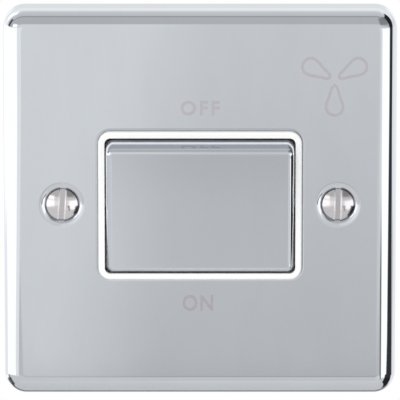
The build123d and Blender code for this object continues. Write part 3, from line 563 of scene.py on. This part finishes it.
lip_reach = DIMPLE + DIMPLE_LIP * math.tan(math.radians(22.5))
back_reach = HOLE + SHEET
back_level = FACE + DIMPLE + SHEET * math.sqrt(2) - back_reach
dimple_section = [(lip_reach + SUPPORT, FACE)]
dimple_section += arc((lip_reach, FACE + DIMPLE_LIP), DIMPLE_LIP, 0, -45, 14)
dimple_section += [(HOLE, FACE + DIMPLE - HOLE), (HOLE, back_level), (back_reach, back_level)]
back_foot = back_reach + back_level - INNER
dimple_section += [(back_foot, INNER), (back_foot + SUPPORT, INNER)]
print("points in the sections:", len(rim_section), len(window_section), len(dimple_section))


# %% Fill the flats and join the plate
def joined(meshes):
    """Several meshes in one shell."""
    shell = bmesh.new()
    for mesh in meshes:
        shell.from_mesh(mesh)
    return shell


def fill_level(shell, level, facing):
    """Fills the flat between the open edges that lie at a level."""
    height = level * MM
    rim = [e for e in shell.edges if e.is_boundary]
    edges = [e for e in rim if all(abs(v.co.y - height) < 1e-6 for v in e.verts)]
    filled = bmesh.ops.triangle_fill(shell, edges=edges, use_beauty=True, normal=(0.0, facing, 0.0))
    for face in filled["geom"]:
        if isinstance(face, bmesh.types.BMFace):
            face.smooth = True


def settled(shell, name, material):
    """Closes a shell into a mesh with its faces outwards."""
    bmesh.ops.remove_doubles(shell, verts=shell.verts, dist=1e-7)
    bmesh.ops.recalc_face_normals(shell, faces=shell.faces)
    mesh = bpy.data.meshes.new(name)
    open_edges = sum(1 for e in shell.edges if not e.is_manifold)
    shell.to_mesh(mesh)
    shell.free()
    mesh.materials.clear()
    mesh.materials.append(material)
    print(f"{name}: {len(mesh.polygons)} faces, {open_edges} open edges")
    return mesh


STUD = 1.25
STUD_X = 18.0
STUD_Z = 26.987
STUD_BREAK = 0.1
STUD_FOOT = 0.2
FLANGE = 1.6
NUT = 1.6
STUD_PROUD = 0.4
STUD_END = INNER + FLANGE + NUT + STUD_PROUD
STUDS = [(i * STUD_X, k * STUD_Z) for i in (-1, 1) for k in (-1, 1)]
stud_section = [(STUD + STUD_FOOT, INNER), (STUD, INNER), (STUD, STUD_END - STUD_BREAK)]
stud_section += [(STUD - STUD_BREAK, STUD_END), (0.0, STUD_END)]

plate_parts = [wrapped(rim_section, CORE, CORE, steps=20)]
plate_parts += [wrapped(window_section, *WINDOW_CORE, steps=12)]
plate_parts += [wrapped(dimple_section, x=side * FIXING_X) for side in (-1, 1)]
plate_parts += [wrapped(stud_section, x=x, z=z, steps=8) for x, z in STUDS]
plate_shell = joined(plate_parts)
fill_level(plate_shell, FACE, -1.0)
fill_level(plate_shell, INNER, 1.0)
piece("plate", settled(plate_shell, "plate", plate_chrome), "housing", ["front_plate"])

# %% [markdown]
# The fixing screws are raised countersunk screws with a plain slot. The head is turned, so it is a section
# wrapped round nothing, and the slot is cut from it. The thread is a rule too: the radius of each point
# follows its height and its turn round the screw, which Geometry Nodes can work out for a whole grid at
# once.


# %% The thread tree
CREST_SHARE = 0.15
FLANK_SLOPE = 1.3
POINT_LENGTH = 2.2
POINT_FALL = 1.6


def thread_tree():
    """A threaded shank along Y from the start to the end. Its point is chamfered, in depths of the thread."""
    tree, board, given = new_tree(
        "thread",
        [
            ("Radius", "NodeSocketFloat", 0.00175),
            ("Depth", "NodeSocketFloat", 0.0003),
            ("Pitch", "NodeSocketFloat", 0.0006),
            ("Start", "NodeSocketFloat", 0.0),
            ("End", "NodeSocketFloat", 0.01),
            ("Columns", "NodeSocketInt", 24),
            ("Rows", "NodeSocketInt", 200),
            ("Material", "NodeSocketMaterial", None),
        ],
    )
    names = ("Radius", "Depth", "Pitch", "Start", "End", "Columns", "Rows")
    radius, depth, pitch, start, end, columns, rows = [Term(board, given[name]) for name in names]
    grid, row, column = numbered_grid(board, columns + 1, rows)
    share = column / columns
    level = start + (end - start) * row / (rows - 1)
    phase = board.maths("FLOORED_MODULO", level / pitch - share, 1.0)
    flank = board.maths("ABSOLUTE", phase * 2 - 1)
    crest = board.maths("MINIMUM", radius, radius - depth * FLANK_SLOPE * (flank - CREST_SHARE))
    point = board.step(level, end - depth * POINT_LENGTH, end) * depth * POINT_FALL
    reach = board.maths("MINIMUM", crest, radius - point)
    ends = board.maths("COMPARE", row, 0.0, 0.5) + board.maths("COMPARE", row, rows - 1, 0.5)
    reach = reach * (1 - ends)
    turn = share * math.tau
    place = xyz(board, reach * board.maths("COSINE", turn), level, reach * board.maths("SINE", turn))
    shape = bent_grid(board, grid, place, 1e-7)
    close_tree(board, shape, given["Material"], 50.0)
    return tree


THREAD = thread_tree()
print("thread tree:", len(THREAD.nodes), "nodes")

# %% The fixing screws' sizes and levels
HEAD_RIM = 0.4
HEAD_DOME = 1.1
NECK = 1.55
NECK_OVERLAP = 0.3
SHANK = 1.75
SCREW_LENGTH = 25.0
SLOT_DEPTH = 1.5
BURR = 0.05
SEAT_GAP = 0.05
PITCH = 0.6
THREAD_DEPTH = 0.32
PLAIN_SHANK = 0.8
ROWS_A_TURN = 8
seat = FACE + DIMPLE - HEAD - SEAT_GAP * math.sqrt(2)
rim_level = seat - HEAD_RIM
tip_level = rim_level + SCREW_LENGTH
ball = (HEAD**2 + HEAD_DOME**2) / (2 * HEAD_DOME)
ball_centre = rim_level - HEAD_DOME + ball
head_angle = math.degrees(math.asin(HEAD / ball))
neck_level = seat + HEAD - NECK
thread_start = back_level + PLAIN_SHANK
thread_turns = (tip_level - thread_start) / PITCH
print(f"each screw's head ends at {rim_level - HEAD_DOME:.2f} mm and its tip at {tip_level:.2f} mm")

# %% [markdown]
# A driver's slot has a narrow floor and a mouth that flares at the dome's surface. The cutter follows the
# dome, so its cross-section is drawn at stations along the slot and the stations are joined by faces.

# %% Cut the slot
CUTTER_LENGTH = 2.3 * HEAD
CUTTER_ABOVE = 1.0
STATIONS = 25


def slot_station(z):
    """The cutter's outline at a distance along the slot."""
    dome = ball_centre - math.sqrt(ball**2 - z**2)
    half = SLOT_WIDTH / 2
    mouth = half + SLOT_BREAK
    side = [(half, rim_level - HEAD_DOME + SLOT_DEPTH), (half, dome + 0.5 * SLOT_BREAK)]
    side += [(mouth, dome + mouth**2 / (2 * ball)), (mouth, dome - CUTTER_ABOVE)]
    return [(x, y, z) for x, y in side] + [(-x, y, z) for x, y in reversed(side)]


def slot_cutter():
    """The solid that is taken from a head to leave its slot."""
    rings = [slot_station((k / (STATIONS - 1) - 0.5) * CUTTER_LENGTH) for k in range(STATIONS)]
    points = [tuple(v * MM for v in point) for ring in rings for point in ring]
    around = len(rings[0])
    faces = []
    for k in range(STATIONS - 1):
        this, following = k * around, (k + 1) * around
        for i in range(around):
            beside = (i + 1) % around
            faces.append((this + i, this + beside, following + beside, following + i))
    faces += [tuple(range(around)), tuple(range(STATIONS * around - 1, (STATIONS - 1) * around - 1, -1))]
    mesh = bpy.data.meshes.new("cutter")
    mesh.from_pydata(points, [], faces)
    solid = bmesh.new()
    solid.from_mesh(mesh)
    bmesh.ops.recalc_face_normals(solid, faces=solid.faces)
    solid.to_mesh(mesh)
    solid.free()
    return bpy.data.objects.new("cutter", mesh)


def screw_head():
    """The head and neck with their slot, about the screw's own line."""
    section = arc((0.0, ball_centre), ball, 0, head_angle, 16)
    neck_end = thread_start + NECK_OVERLAP
    section += [(HEAD, seat), (NECK, neck_level), (NECK, neck_end), (0.0, neck_end)]
    head = bpy.data.objects.new("head", wrapped(section, steps=14))
    cutter = slot_cutter()
    for shape in (head, cutter):
        bpy.context.scene.collection.objects.link(shape)
    cut = head.modifiers.new("slot", "BOOLEAN")
    cut.operation = "DIFFERENCE"
    cut.object = cutter
    soften = head.modifiers.new("burr", "BEVEL")
    soften.width = BURR * MM
    soften.segments = 2
    soften.limit_method = "ANGLE"
    soften.angle_limit = math.radians(40)
    seen = head.evaluated_get(bpy.context.evaluated_depsgraph_get())
    result = bpy.data.meshes.new_from_object(seen)
    bpy.data.objects.remove(head)
    bpy.data.objects.remove(cutter)
    return result


print("the slot is cut at", STATIONS, "stations")

# %% Draw the fixing screws
thread_values = {
    "Radius": SHANK * MM,
    "Depth": THREAD_DEPTH * MM,
    "Pitch": PITCH * MM,
    "Start": thread_start * MM,
    "End": tip_level * MM,
    "Columns": 20,
    "Rows": int(thread_turns * ROWS_A_TURN),
}
shank_mesh = baked("shank", bpy.data.meshes.new("shank"), THREAD, thread_values)
screws_shell = bmesh.new()
for side, lean in zip((-1, 1), SLOT_LEANS):
    upright = Matrix.Translation((side * FIXING_X * MM, 0, 0))
    for source in (screw_head(), shank_mesh):
        placed = source.copy()
        placed.transform(upright @ Matrix.Rotation(math.radians(lean), 4, "Y"))
        screws_shell.from_mesh(placed)
screws_mesh = settled(screws_shell, "screws", screw_chrome)
piece("screws", screws_mesh, "housing", ["fixing_screws"])

# %% [markdown]
# Each plunger is pushed by a coil spring that sits in its bore. A coil is a path that follows a rule, and
# its wire is a circle carried along the path, which the curve nodes do directly. The springs lie tilted
# with the rocker, and as the plunger is pressed in they shorten.


# %% The spring tree
def spring_tree():
    """A coil about Y from the start to the end."""
    tree, board, given = new_tree(
        "coil",
        [
            ("Radius", "NodeSocketFloat", 0.001),
            ("Wire", "NodeSocketFloat", 0.0002),
            ("Turns", "NodeSocketFloat", 7.0),
            ("Start", "NodeSocketFloat", 0.0),
            ("End", "NodeSocketFloat", 0.01),
            ("Points", "NodeSocketInt", 140),
            ("Material", "NodeSocketMaterial", None),
        ],
    )
    names = ("Radius", "Turns", "Start", "End", "Points")
    radius, turns, start, end, points = [Term(board, given[name]) for name in names]
    spaced = {"Count": points, "Offset": (0.0, 0.0001, 0.0)}
    line = board.node("GeometryNodeMeshLine", {"mode": "OFFSET"}, spaced)
    share = board.term("GeometryNodeInputIndex") / (points - 1)
    turn = share * turns * math.tau
    level = start + (end - start) * share
    place = xyz(board, radius * board.maths("COSINE", turn), level, radius * board.maths("SINE", turn))
    coil = board.node("GeometryNodeSetPosition", {}, {"Geometry": line.outputs["Mesh"], "Position": place})
    path = board.node("GeometryNodeMeshToCurve", {}, {"Mesh": coil.outputs[0]})
    round_wire = {"Resolution": 8, "Radius": given["Wire"]}
    wire = board.node("GeometryNodeCurvePrimitiveCircle", {"mode": "RADIUS"}, round_wire)
    drawn = {"Curve": path.outputs[0], "Profile Curve": wire.outputs["Curve"], "Fill Caps": True}
    body = board.node("GeometryNodeCurveToMesh", {}, drawn)
    close_tree(board, body.outputs[0], given["Material"], 50.0)
    return tree


COIL = spring_tree()
print("coil tree:", len(COIL.nodes), "nodes")

# %% Draw the springs
PIVOT_Y = -6.7
TILT = math.radians(8.0)
POLES = (-13.6, 0.0, 13.6)
DECK_LEVEL = -3.25
SPRING_END = 6.6
COIL_RADIUS = 0.82
WIRE = 0.18
WIRE_GAP = 0.03
TURNS = 7.0
COIL_REST = WIRE + WIRE_GAP
rocker_turn = Matrix.Translation((0, PIVOT_Y * MM, 0)) @ Matrix.Rotation(TILT, 4, "X")
for number, x in enumerate(POLES, 1):
    values = {
        "Radius": COIL_RADIUS * MM,
        "Wire": WIRE * MM,
        "Turns": TURNS,
        "Start": (DECK_LEVEL + COIL_REST) * MM,
        "End": (SPRING_END - COIL_REST) * MM,
        "Points": 150,
        "Material": spring_steel,
    }
    mesh = baked("coil", bpy.data.meshes.new("coil"), COIL, values)
    mesh.transform(Matrix.Translation((x * MM, 0, 0)) @ rocker_turn)
    coil = piece(f"coil_{number}", mesh, "rocker", [f"plunger_spring_{number}"])
    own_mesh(coil)
print("coils:", len(POLES), "with", len(mesh.polygons), "faces each")

# %% [markdown]
# The marks are faint print on the plating: ON below the rocker, OFF above it, and a fan. A picture of them on
# the plate would blur from nearby, so they are flat meshes that lie on it. The two words are plain capitals
# from the standard font, and each is made a mesh before it is put in its place.


# %% The print and the words
def print_ink():
    """Thin lilac-grey print that lets the metal shine through."""
    material, board, shader, place = finish_board("print_ink")
    worn = noise(board, place, 900.0, 3.0, 0.6)
    height = Term(board, board.node("ShaderNodeSeparateXYZ", {}, {"Vector": place}).outputs["Z"])
    colour = tint(board, worn, (0.685, 0.655, 0.71), (0.73, 0.70, 0.755))
    # The print below the plate's middle is painted a little darker, as painted shade
    colour = tint(board, board.step(height, 0.0, -0.01) * 0.1, colour, (0.50, 0.475, 0.52))
    board.feed(shader.inputs["Base Color"], colour)
    board.feed(shader.inputs["Roughness"], 0.05 + worn * 0.05)
    board.feed(shader.inputs["Normal"], relief(board, worn, 0.000002))
    shader.inputs["Metallic"].default_value = 1.0
    return material


INK = print_ink()
INK_LEVEL = FACE - 0.03
CAPITALS = 0.72
STROKE_SWELL = 0.11
stand_up = Matrix.Rotation(math.radians(90), 4, "X")


def word(text, x, z, height, spacing, width):
    """A word as a flat mesh on the plate's face, its letters narrowed by the width."""
    curve = bpy.data.curves.new(text, "FONT")
    curve.body = text
    curve.align_x = "CENTER"
    curve.align_y = "CENTER"
    curve.size = height / CAPITALS * MM
    curve.space_character = spacing
    curve.offset = STROKE_SWELL * MM
    curve.resolution_u = 6
    holder = bpy.data.objects.new(text, curve)
    bpy.context.scene.collection.objects.link(holder)
    mesh = bpy.data.meshes.new_from_object(holder.evaluated_get(bpy.context.evaluated_depsgraph_get()))
    bpy.data.objects.remove(holder)
    narrowed = stand_up @ Matrix.Diagonal((width, 1, 1, 1))
    mesh.transform(Matrix.Translation((x * MM, INK_LEVEL * MM, z * MM)) @ narrowed)
    mesh.materials.clear()
    mesh.materials.append(INK)
    return mesh


# Each word has its middle, the height of its capitals, the spacing of its letters and their width
WORDS = {"OFF": (0.0, 21.3, 3.1, 1.25, 1.0), "ON": (-0.4, -22.2, 3.5, 1.15, 0.86)}
for text, measures in WORDS.items():
    piece(f"word_{text.lower()}", word(text, *measures), "housing")
print("words:", *WORDS)

# %% [markdown]
# The fan is printed in outline, with three blades that are alike. So one blade is drawn, its root just off
# the hub, and a tree gives its outline the width of a pen stroke and turns it three times about the hub.


# %% The fan
def fan_tree():
    """Draws the object's own flat outline as a ribbon and turns it about the hub as many times as asked."""
    tree, board, given = new_tree(
        "fan",
        [
            ("Blades", "NodeSocketInt", 3),
            ("Stroke", "NodeSocketFloat", 0.0003),
            ("Material", "NodeSocketMaterial", None),
        ],
    )
    outline = board.node("GeometryNodeMeshToCurve", {}, {"Mesh": given["Geometry"]})
    stroke = board.node(
        "GeometryNodeCurvePrimitiveLine",
        {"mode": "DIRECTION"},
        {"Start": (0.0, 0.0, 0.0), "Direction": (1.0, 0.0, 0.0), "Length": given["Stroke"]},
    )
    normals = board.node("GeometryNodeSetCurveNormal", {"mode": "Z_UP"}, {"Curve": outline.outputs[0]})
    drawn = {"Curve": normals.outputs[0], "Profile Curve": stroke.outputs[0]}
    ribbon = board.node("GeometryNodeCurveToMesh", {}, drawn)
    spots = board.node("GeometryNodePoints", {}, {"Count": given["Blades"]})
    turn = board.term("GeometryNodeInputIndex") / Term(board, given["Blades"]) * math.tau
    about = xyz(board, 0.0, 0.0, turn)
    turned = {"Points": spots.outputs[0], "Instance": ribbon.outputs[0], "Rotation": about}
    copies = board.node("GeometryNodeInstanceOnPoints", {}, turned)
    close_tree(board, copies.outputs[0], given["Material"])
    return tree


BLADE_ROOT = (0.0, -0.9)
BLADE_TIP = (0.0, -8.1)
BLADE_SIDE = [(0.55, -1.15), (0.95, -1.8), (1.25, -2.9), (1.7, -4.2), (2.1, -5.5), (2.05, -6.7), (1.3, -7.7)]
STEPS_A_POINT = 6
STROKE = 0.6
FAN_PLACE = (29.3, 27.7)


def blade_outline():
    """One blade as a smooth closed curve through its points, in the plane of its print, the hub at zero."""
    points = [BLADE_ROOT] + BLADE_SIDE + [BLADE_TIP] + [(-x, z) for x, z in reversed(BLADE_SIDE)]
    smooth = []
    count = len(points)
    for i in range(count):
        before, a, b, after = [Vector(points[(i + k) % count]) for k in (-1, 0, 1, 2)]
        for k in range(STEPS_A_POINT):
            t = k / STEPS_A_POINT
            smooth.append(
                0.5 * (2 * a + (b - before) * t + (2 * before - 5 * a + 4 * b - after) * t**2)
                + 0.5 * (3 * a - before - 3 * b + after) * t**3
            )
    mesh = bpy.data.meshes.new("blade")
    total = len(smooth)
    edges = [(i, (i + 1) % total) for i in range(total)]
    mesh.from_pydata([(p.x * MM, p.y * MM, 0.0) for p in smooth], edges, [])
    return mesh


fan_values = {"Blades": 3, "Stroke": STROKE * MM, "Material": INK}
fan_mesh = baked("fan", blade_outline(), fan_tree(), fan_values)
fan_mesh.transform(Matrix.Translation((FAN_PLACE[0] * MM, INK_LEVEL * MM, FAN_PLACE[1] * MM)) @ stand_up)
piece("fan_mark", fan_mesh, "housing")
print("fan:", len(fan_mesh.polygons), "faces")

# %% [markdown]
# The studio is a soft room of its own. A mirror-like object needs things to mirror: broad white screens at
# both sides, a grey wall in front that darkens downwards, a dark strip beyond the right screen and a
# lighter ceiling. Lit panels could make it, but they would light the white mouldings unevenly and stand in
# the camera's way. So the whole room is written into the world as sums on the direction, and the camera
# itself sees plain white.
#
# Three angles in degrees name a direction. Azimuth runs from the front to the right, height is the angle
# above the horizon, and rise runs in the upright plane from the front over the top. The camera looks down
# by 11.8 degrees, so the flat mirrors rises of -10 at its top to -13.5 at its foot. The rocker's face leans
# over by 8 degrees and mirrors -26.7 to -28.8. The rolls at the sides mirror the flat's heights at nearly
# every azimuth.


# %% Tones and panels
FRONT_TONE = 0.785
SILL_TONE = 0.69
UPPER_TONE = 0.53
CEILING_TONES = (0.62, 0.98)
SHOULDER_TONE = 0.93
SCREEN_TONE = 1.3
BEYOND_TONE = 0.98
FLAT_RISES = (-10.0, -13.4)
FACE_RISES = (-26.7, -28.8)

# Each panel has a span of azimuth and a span of height: its start, its end and how soft its edges are
RIGHT_SCREEN = ((33.0, 104.0, 2.0), (-26.0, 6.0, 1.5))
LEFT_NOTCH = ((-62.0, -35.0, 3.0), (12.0, 26.0, 3.0))
BEYOND = ((114.0, 200.0, 3.0), (-40.0, 60.0, 4.0))
FRAME_LINE = ((21.5, 29.0, 1.5), (-32.0, -12.2, 0.6))
UPPER_PATCH = ((-98.0, -81.0, 3.0), (11.0, 40.0, 3.0))
LOWER_PATCH = ((-140.0, -92.0, 4.0), (-50.0, -25.0, 3.0))
DUSK = ((22.0, 84.0, 7.0), (22.0, 60.0, 7.0))


def panel(board, azimuth, height, spans):
    """A panel with soft edges: one inside it and nothing outside."""
    across, upright = spans
    return board.band(azimuth, *across) * board.band(height, *upright)


def laid(under, cover, tone):
    """A tone laid over what is under it, as far as its cover goes."""
    return under * (1 - cover) + tone * cover


print("the tones run from", UPPER_TONE, "to", SCREEN_TONE)


# %% The wall in front and the ceiling
SEAM = -0.3
SEAM_DRIFT = 0.65
FACE_DRIFT = 0.15
RIGHT_FALL = 0.115
FOOT_FALL = 0.105
CORNER_RISE = 0.09
FACE_TOP = (-27.6, -24.0, 0.3)
FACE_TOP_FALL = 0.09
CORNICE = (70.0, 78.0, 1.5)
CORNICE_FALL = 0.28
BEHIND_BELOW = (-179.0, -115.0, 2.0)
BEHIND_FALL = 0.62


def front_wall(board, azimuth, rise):
    """The grey wall that the flat and the rocker's face mirror, darker to the right and at its foot."""
    lower = board.step(rise, *FLAT_RISES)
    seam = FACE_DRIFT * board.step(rise, -16.0, -22.0) + SEAM - SEAM_DRIFT * lower
    softness = 0.5 + 0.25 * lower
    past_seam = board.step((azimuth - seam) / softness, -1.0, 1.0)
    wall = FRONT_TONE * (1 - (RIGHT_FALL + FOOT_FALL * lower) * past_seam) * (1 - 0.04 * lower)
    wall = wall + CORNER_RISE * board.step(azimuth, 1.6, 6.0) * board.step(rise, -10.5, -12.5)
    face_top = board.band(rise, *FACE_TOP)
    flat_foot = 0.13 * board.step(rise, -13.35, -14.0) + 0.08 * board.step(rise, -13.33, -13.56)
    on_flat = board.step(rise, -24.0, -20.0)
    return wall * (1 - FACE_TOP_FALL * face_top) * (1 - flat_foot * on_flat)


def walls_by_rise(board, azimuth, rise):
    """The wall in front, with a sill above and below what the rocker's face mirrors, up to the ceiling."""
    sill = board.band(rise, FACE_RISES[0], -16.0, 0.4) + board.step(rise, FACE_RISES[1], -29.4)
    shade = laid(front_wall(board, azimuth, rise), sill, SILL_TONE)
    shade = laid(shade, board.step(rise, 25.5, 27.5), UPPER_TONE)
    shade = shade * (1 - CORNICE_FALL * board.band(rise, *CORNICE))
    ceiling = board.step(rise, 76.0, 172.0, *CEILING_TONES)
    shade = laid(shade, board.step(rise, 77.0, 80.0), ceiling)
    return shade * (1 - BEHIND_FALL * board.band(rise, *BEHIND_BELOW))


print("the wall in front is", FRONT_TONE, "and the ceiling", CEILING_TONES)


# %% The walls at the sides
ROLL_TOP = -10.7
ROLL_FOOT = -14.0
ROLL_ZERO = -10.9
SHOULDER_LEAN = 7.7
SCREEN_LEAN = 5.9
SHOULDER_HEIGHTS = (-30.0, 9.0, 2.0)
LEFT_HEIGHTS = (-17.0, 9.0, 1.5)
GLOW = 0.3
GLOW_AZIMUTHS = (-145.0, -70.0, 8.0)
GLOW_DIP = 0.14
GLOW_DIP_HEIGHTS = (3.0, 20.0, 3.0)


def roll_level(board, height):
    """How far down a side's roll a height is mirrored, from 0.2 to -3.1. Edges that lean go by it."""
    level = board.maths("MAXIMUM", board.maths("MINIMUM", height, ROLL_TOP), ROLL_FOOT) - ROLL_ZERO
    return level * board.step(height, -21.0, -17.0)


def side_walls(board, shade, azimuth, height, level):
    """Shoulders next to the wall in front, a bright screen at each side and a light wall beyond each."""
    low_side = board.step(height, -11.4, -12.6) * board.step(height, -21.0, -17.0)
    shoulder = board.step(azimuth - level * SHOULDER_LEAN, -8.0, -12.0) * board.step(azimuth, -80.0, -60.0)
    shoulder = shoulder * board.step(height, -20.0, -16.0)
    shoulder = shoulder + board.step(azimuth, 8.0, 30.0) * (1.0 - 0.45 * low_side)
    shoulder = shoulder * board.band(height, *SHOULDER_HEIGHTS)
    shade = laid(shade, shoulder, SHOULDER_TONE)
    left = board.step(azimuth - level * SCREEN_LEAN, -32.0, -35.0) * board.step(azimuth, -121.0, -115.0)
    left = left * (board.band(height, *LEFT_HEIGHTS) + panel(board, azimuth, height, LEFT_NOTCH))
    right = panel(board, azimuth + (1 - low_side) * 4, height, RIGHT_SCREEN)
    light = laid(shade, left + right, SCREEN_TONE)
    glow = BEYOND_TONE + GLOW * board.band(azimuth, *GLOW_AZIMUTHS) * (1 - low_side)
    glow = glow * (1 - GLOW_DIP * board.band(height, *GLOW_DIP_HEIGHTS))
    return laid(light, panel(board, board.maths("ABSOLUTE", azimuth), height, BEYOND), glow)


print("the side screens are", SCREEN_TONE)


# %% The dark panels
NEAR = 75.3
NEAR_LEAN = 1.45
NEAREST = 57.0
FAR = 99
FAR_LEAN = 2.3
STRIP_HEIGHTS = (-60.0, 54.0, 3.0)
STRIP_DARK = 0.97
PATCH_DARK = 0.85
LINE_DARK = 0.8
LINE_LEAN = 0.35
DUSK_DARK = 0.5


def dark_strip(board, azimuth, height, level):
    """The dark strip beyond the right screen. Its edges lean, and it is wider far above and far below."""
    above = board.maths("MAXIMUM", height, 0.0)
    below = board.maths("MAXIMUM", 0 - height - 14, 0.0)
    near = NEAR + (board.maths("MINIMUM", height, -10.0) + 10) * NEAR_LEAN - below * 9
    near = board.maths("MAXIMUM", near, NEAREST) + above * 0.1
    far = FAR - level * FAR_LEAN + above * 0.6 + below * 0.8
    strip = board.step(azimuth - near, -4.0, 3.0) * board.step(azimuth - far, 3.0, -3.0)
    return strip * board.band(height, *STRIP_HEIGHTS)


def spared(board, azimuth, height, level):
    """The share of light that the dark panels leave: strip, two patches for the corners, line and dusk."""
    strip = dark_strip(board, azimuth, height, level)
    patches = panel(board, azimuth, height, UPPER_PATCH) + panel(board, azimuth, height, LOWER_PATCH)
    line = panel(board, azimuth + (height + 12) * LINE_LEAN, height, FRAME_LINE)
    dusk = panel(board, azimuth, height, DUSK)
    sharp = (1 - STRIP_DARK * strip) * (1 - PATCH_DARK * patches) * (1 - LINE_DARK * line)
    return sharp * (1 - DUSK_DARK * dusk)


print("the dark panels: a strip, two patches, a line and a dusk")


# %% Put the studio together
def studio():
    """The world as a function of direction, and plain white to the camera."""
    world = bpy.data.worlds.new("studio")
    bpy.context.scene.world = world
    world.use_nodes = True
    board = Board(world.node_tree)
    direction = board.node("ShaderNodeTexCoord").outputs["Generated"]
    axes = board.node("ShaderNodeSeparateXYZ", {}, {"Vector": direction}).outputs
    x, y, z = [Term(board, axes[name]) for name in "XYZ"]
    front = 0 - y
    azimuth = board.maths("ARCTAN2", x, front) * (180 / math.pi)
    rise = board.maths("ARCTAN2", z, front) * (180 / math.pi)
    height = board.maths("ARCSINE", z) * (180 / math.pi)
    level = roll_level(board, height)
    light = side_walls(board, walls_by_rise(board, azimuth, rise), azimuth, height, level)
    light = light * spared(board, azimuth, height, level)
    seen = board.term("ShaderNodeLightPath", output="Is Camera Ray")
    white = {"Color": (1.0, 1.0, 1.0, 1.0), "Strength": laid(light, seen, 1.0)}
    background = board.node("ShaderNodeBackground", {}, white)
    output = board.node("ShaderNodeOutputWorld")
    board.feed(output.inputs["Surface"], background.outputs[0])
    return board


walls = studio()
print("the studio's walls are up, in", len(walls.tree.nodes), "nodes")

# %% [markdown]
# The plate hangs upright as on a wall, so the pale floor lies well below it, out of the photograph's frame.
# One large soft lamp, above and nearly in front, brings the white mouldings up to their own colour.

# %% The floor
FLOOR_LEVEL = -0.28
FLOOR_AHEAD = 0.10
FLOOR_RADIUS = 0.22
floor_mesh = bpy.data.meshes.new("floor")
disc = bmesh.new()
bmesh.ops.create_circle(disc, cap_ends=True, segments=96, radius=FLOOR_RADIUS)
disc.transform(Matrix.Translation((0.0, -FLOOR_AHEAD, FLOOR_LEVEL)))
disc.to_mesh(floor_mesh)
disc.free()
floor = bpy.data.objects.new("floor", floor_mesh)
bpy.context.scene.collection.objects.link(floor)
floor_paint, floor_board, floor_shader, floor_place = finish_board("floor_paint")
cloudy = noise(floor_board, floor_place, 400.0)
paint = tint(floor_board, cloudy, (0.75, 0.75, 0.75), (0.73, 0.73, 0.73))
floor_board.feed(floor_shader.inputs["Base Color"], paint)
floor_shader.inputs["Roughness"].default_value = 0.9
floor_mesh.materials.append(floor_paint)
print("the floor lies at", FLOOR_LEVEL, "m")

# %% The lamp
LAMP_PLACE = (-0.15, -1.25, 0.8)
LAMP_SIZE = 0.8
LAMP_POWER = 11.0
lamp_data = bpy.data.lights.new("soft_lamp", "AREA")
lamp_data.size = LAMP_SIZE
lamp_data.energy = LAMP_POWER
lamp = bpy.data.objects.new("soft_lamp", lamp_data)
lamp.visible_glossy = False
bpy.context.scene.collection.objects.link(lamp)
lamp.location = LAMP_PLACE
lamp.rotation_euler = (Vector((0, 0, 0)) - lamp.location).to_track_quat("-Z", "Y").to_euler()
print("the lamp:", LAMP_POWER, "W")

# %% [markdown]
# The camera stands well back with a long lens and looks down a little, as the photograph's nearly parallel
# edges show. Its frame is as wide as the photograph at the plate's own scale.

# %% The camera
ELEVATION = math.radians(11.8)
DISTANCE = 1.3
PHOTO_PIXELS = 400
PIXELS_A_MM = 4.558
FRAME_WIDTH = PHOTO_PIXELS / PIXELS_A_MM * MM
SENSOR = 36.0
camera_data = bpy.data.cameras.new("camera")
camera_data.sensor_width = SENSOR
camera_data.lens = SENSOR * DISTANCE / FRAME_WIDTH
camera_data.clip_start = 0.01
camera = bpy.data.objects.new("camera", camera_data)
bpy.context.scene.collection.objects.link(camera)
aim = Vector((0.0, -0.0045, 0.00005))
back = Vector((0.0, -math.cos(ELEVATION), math.sin(ELEVATION)))
camera.location = aim + back * DISTANCE
camera.rotation_euler = (-back).to_track_quat("-Z", "Y").to_euler()
bpy.context.scene.camera = camera
bpy.context.scene.view_settings.view_transform = "Standard"
print("camera lens:", round(camera_data.lens), "mm")
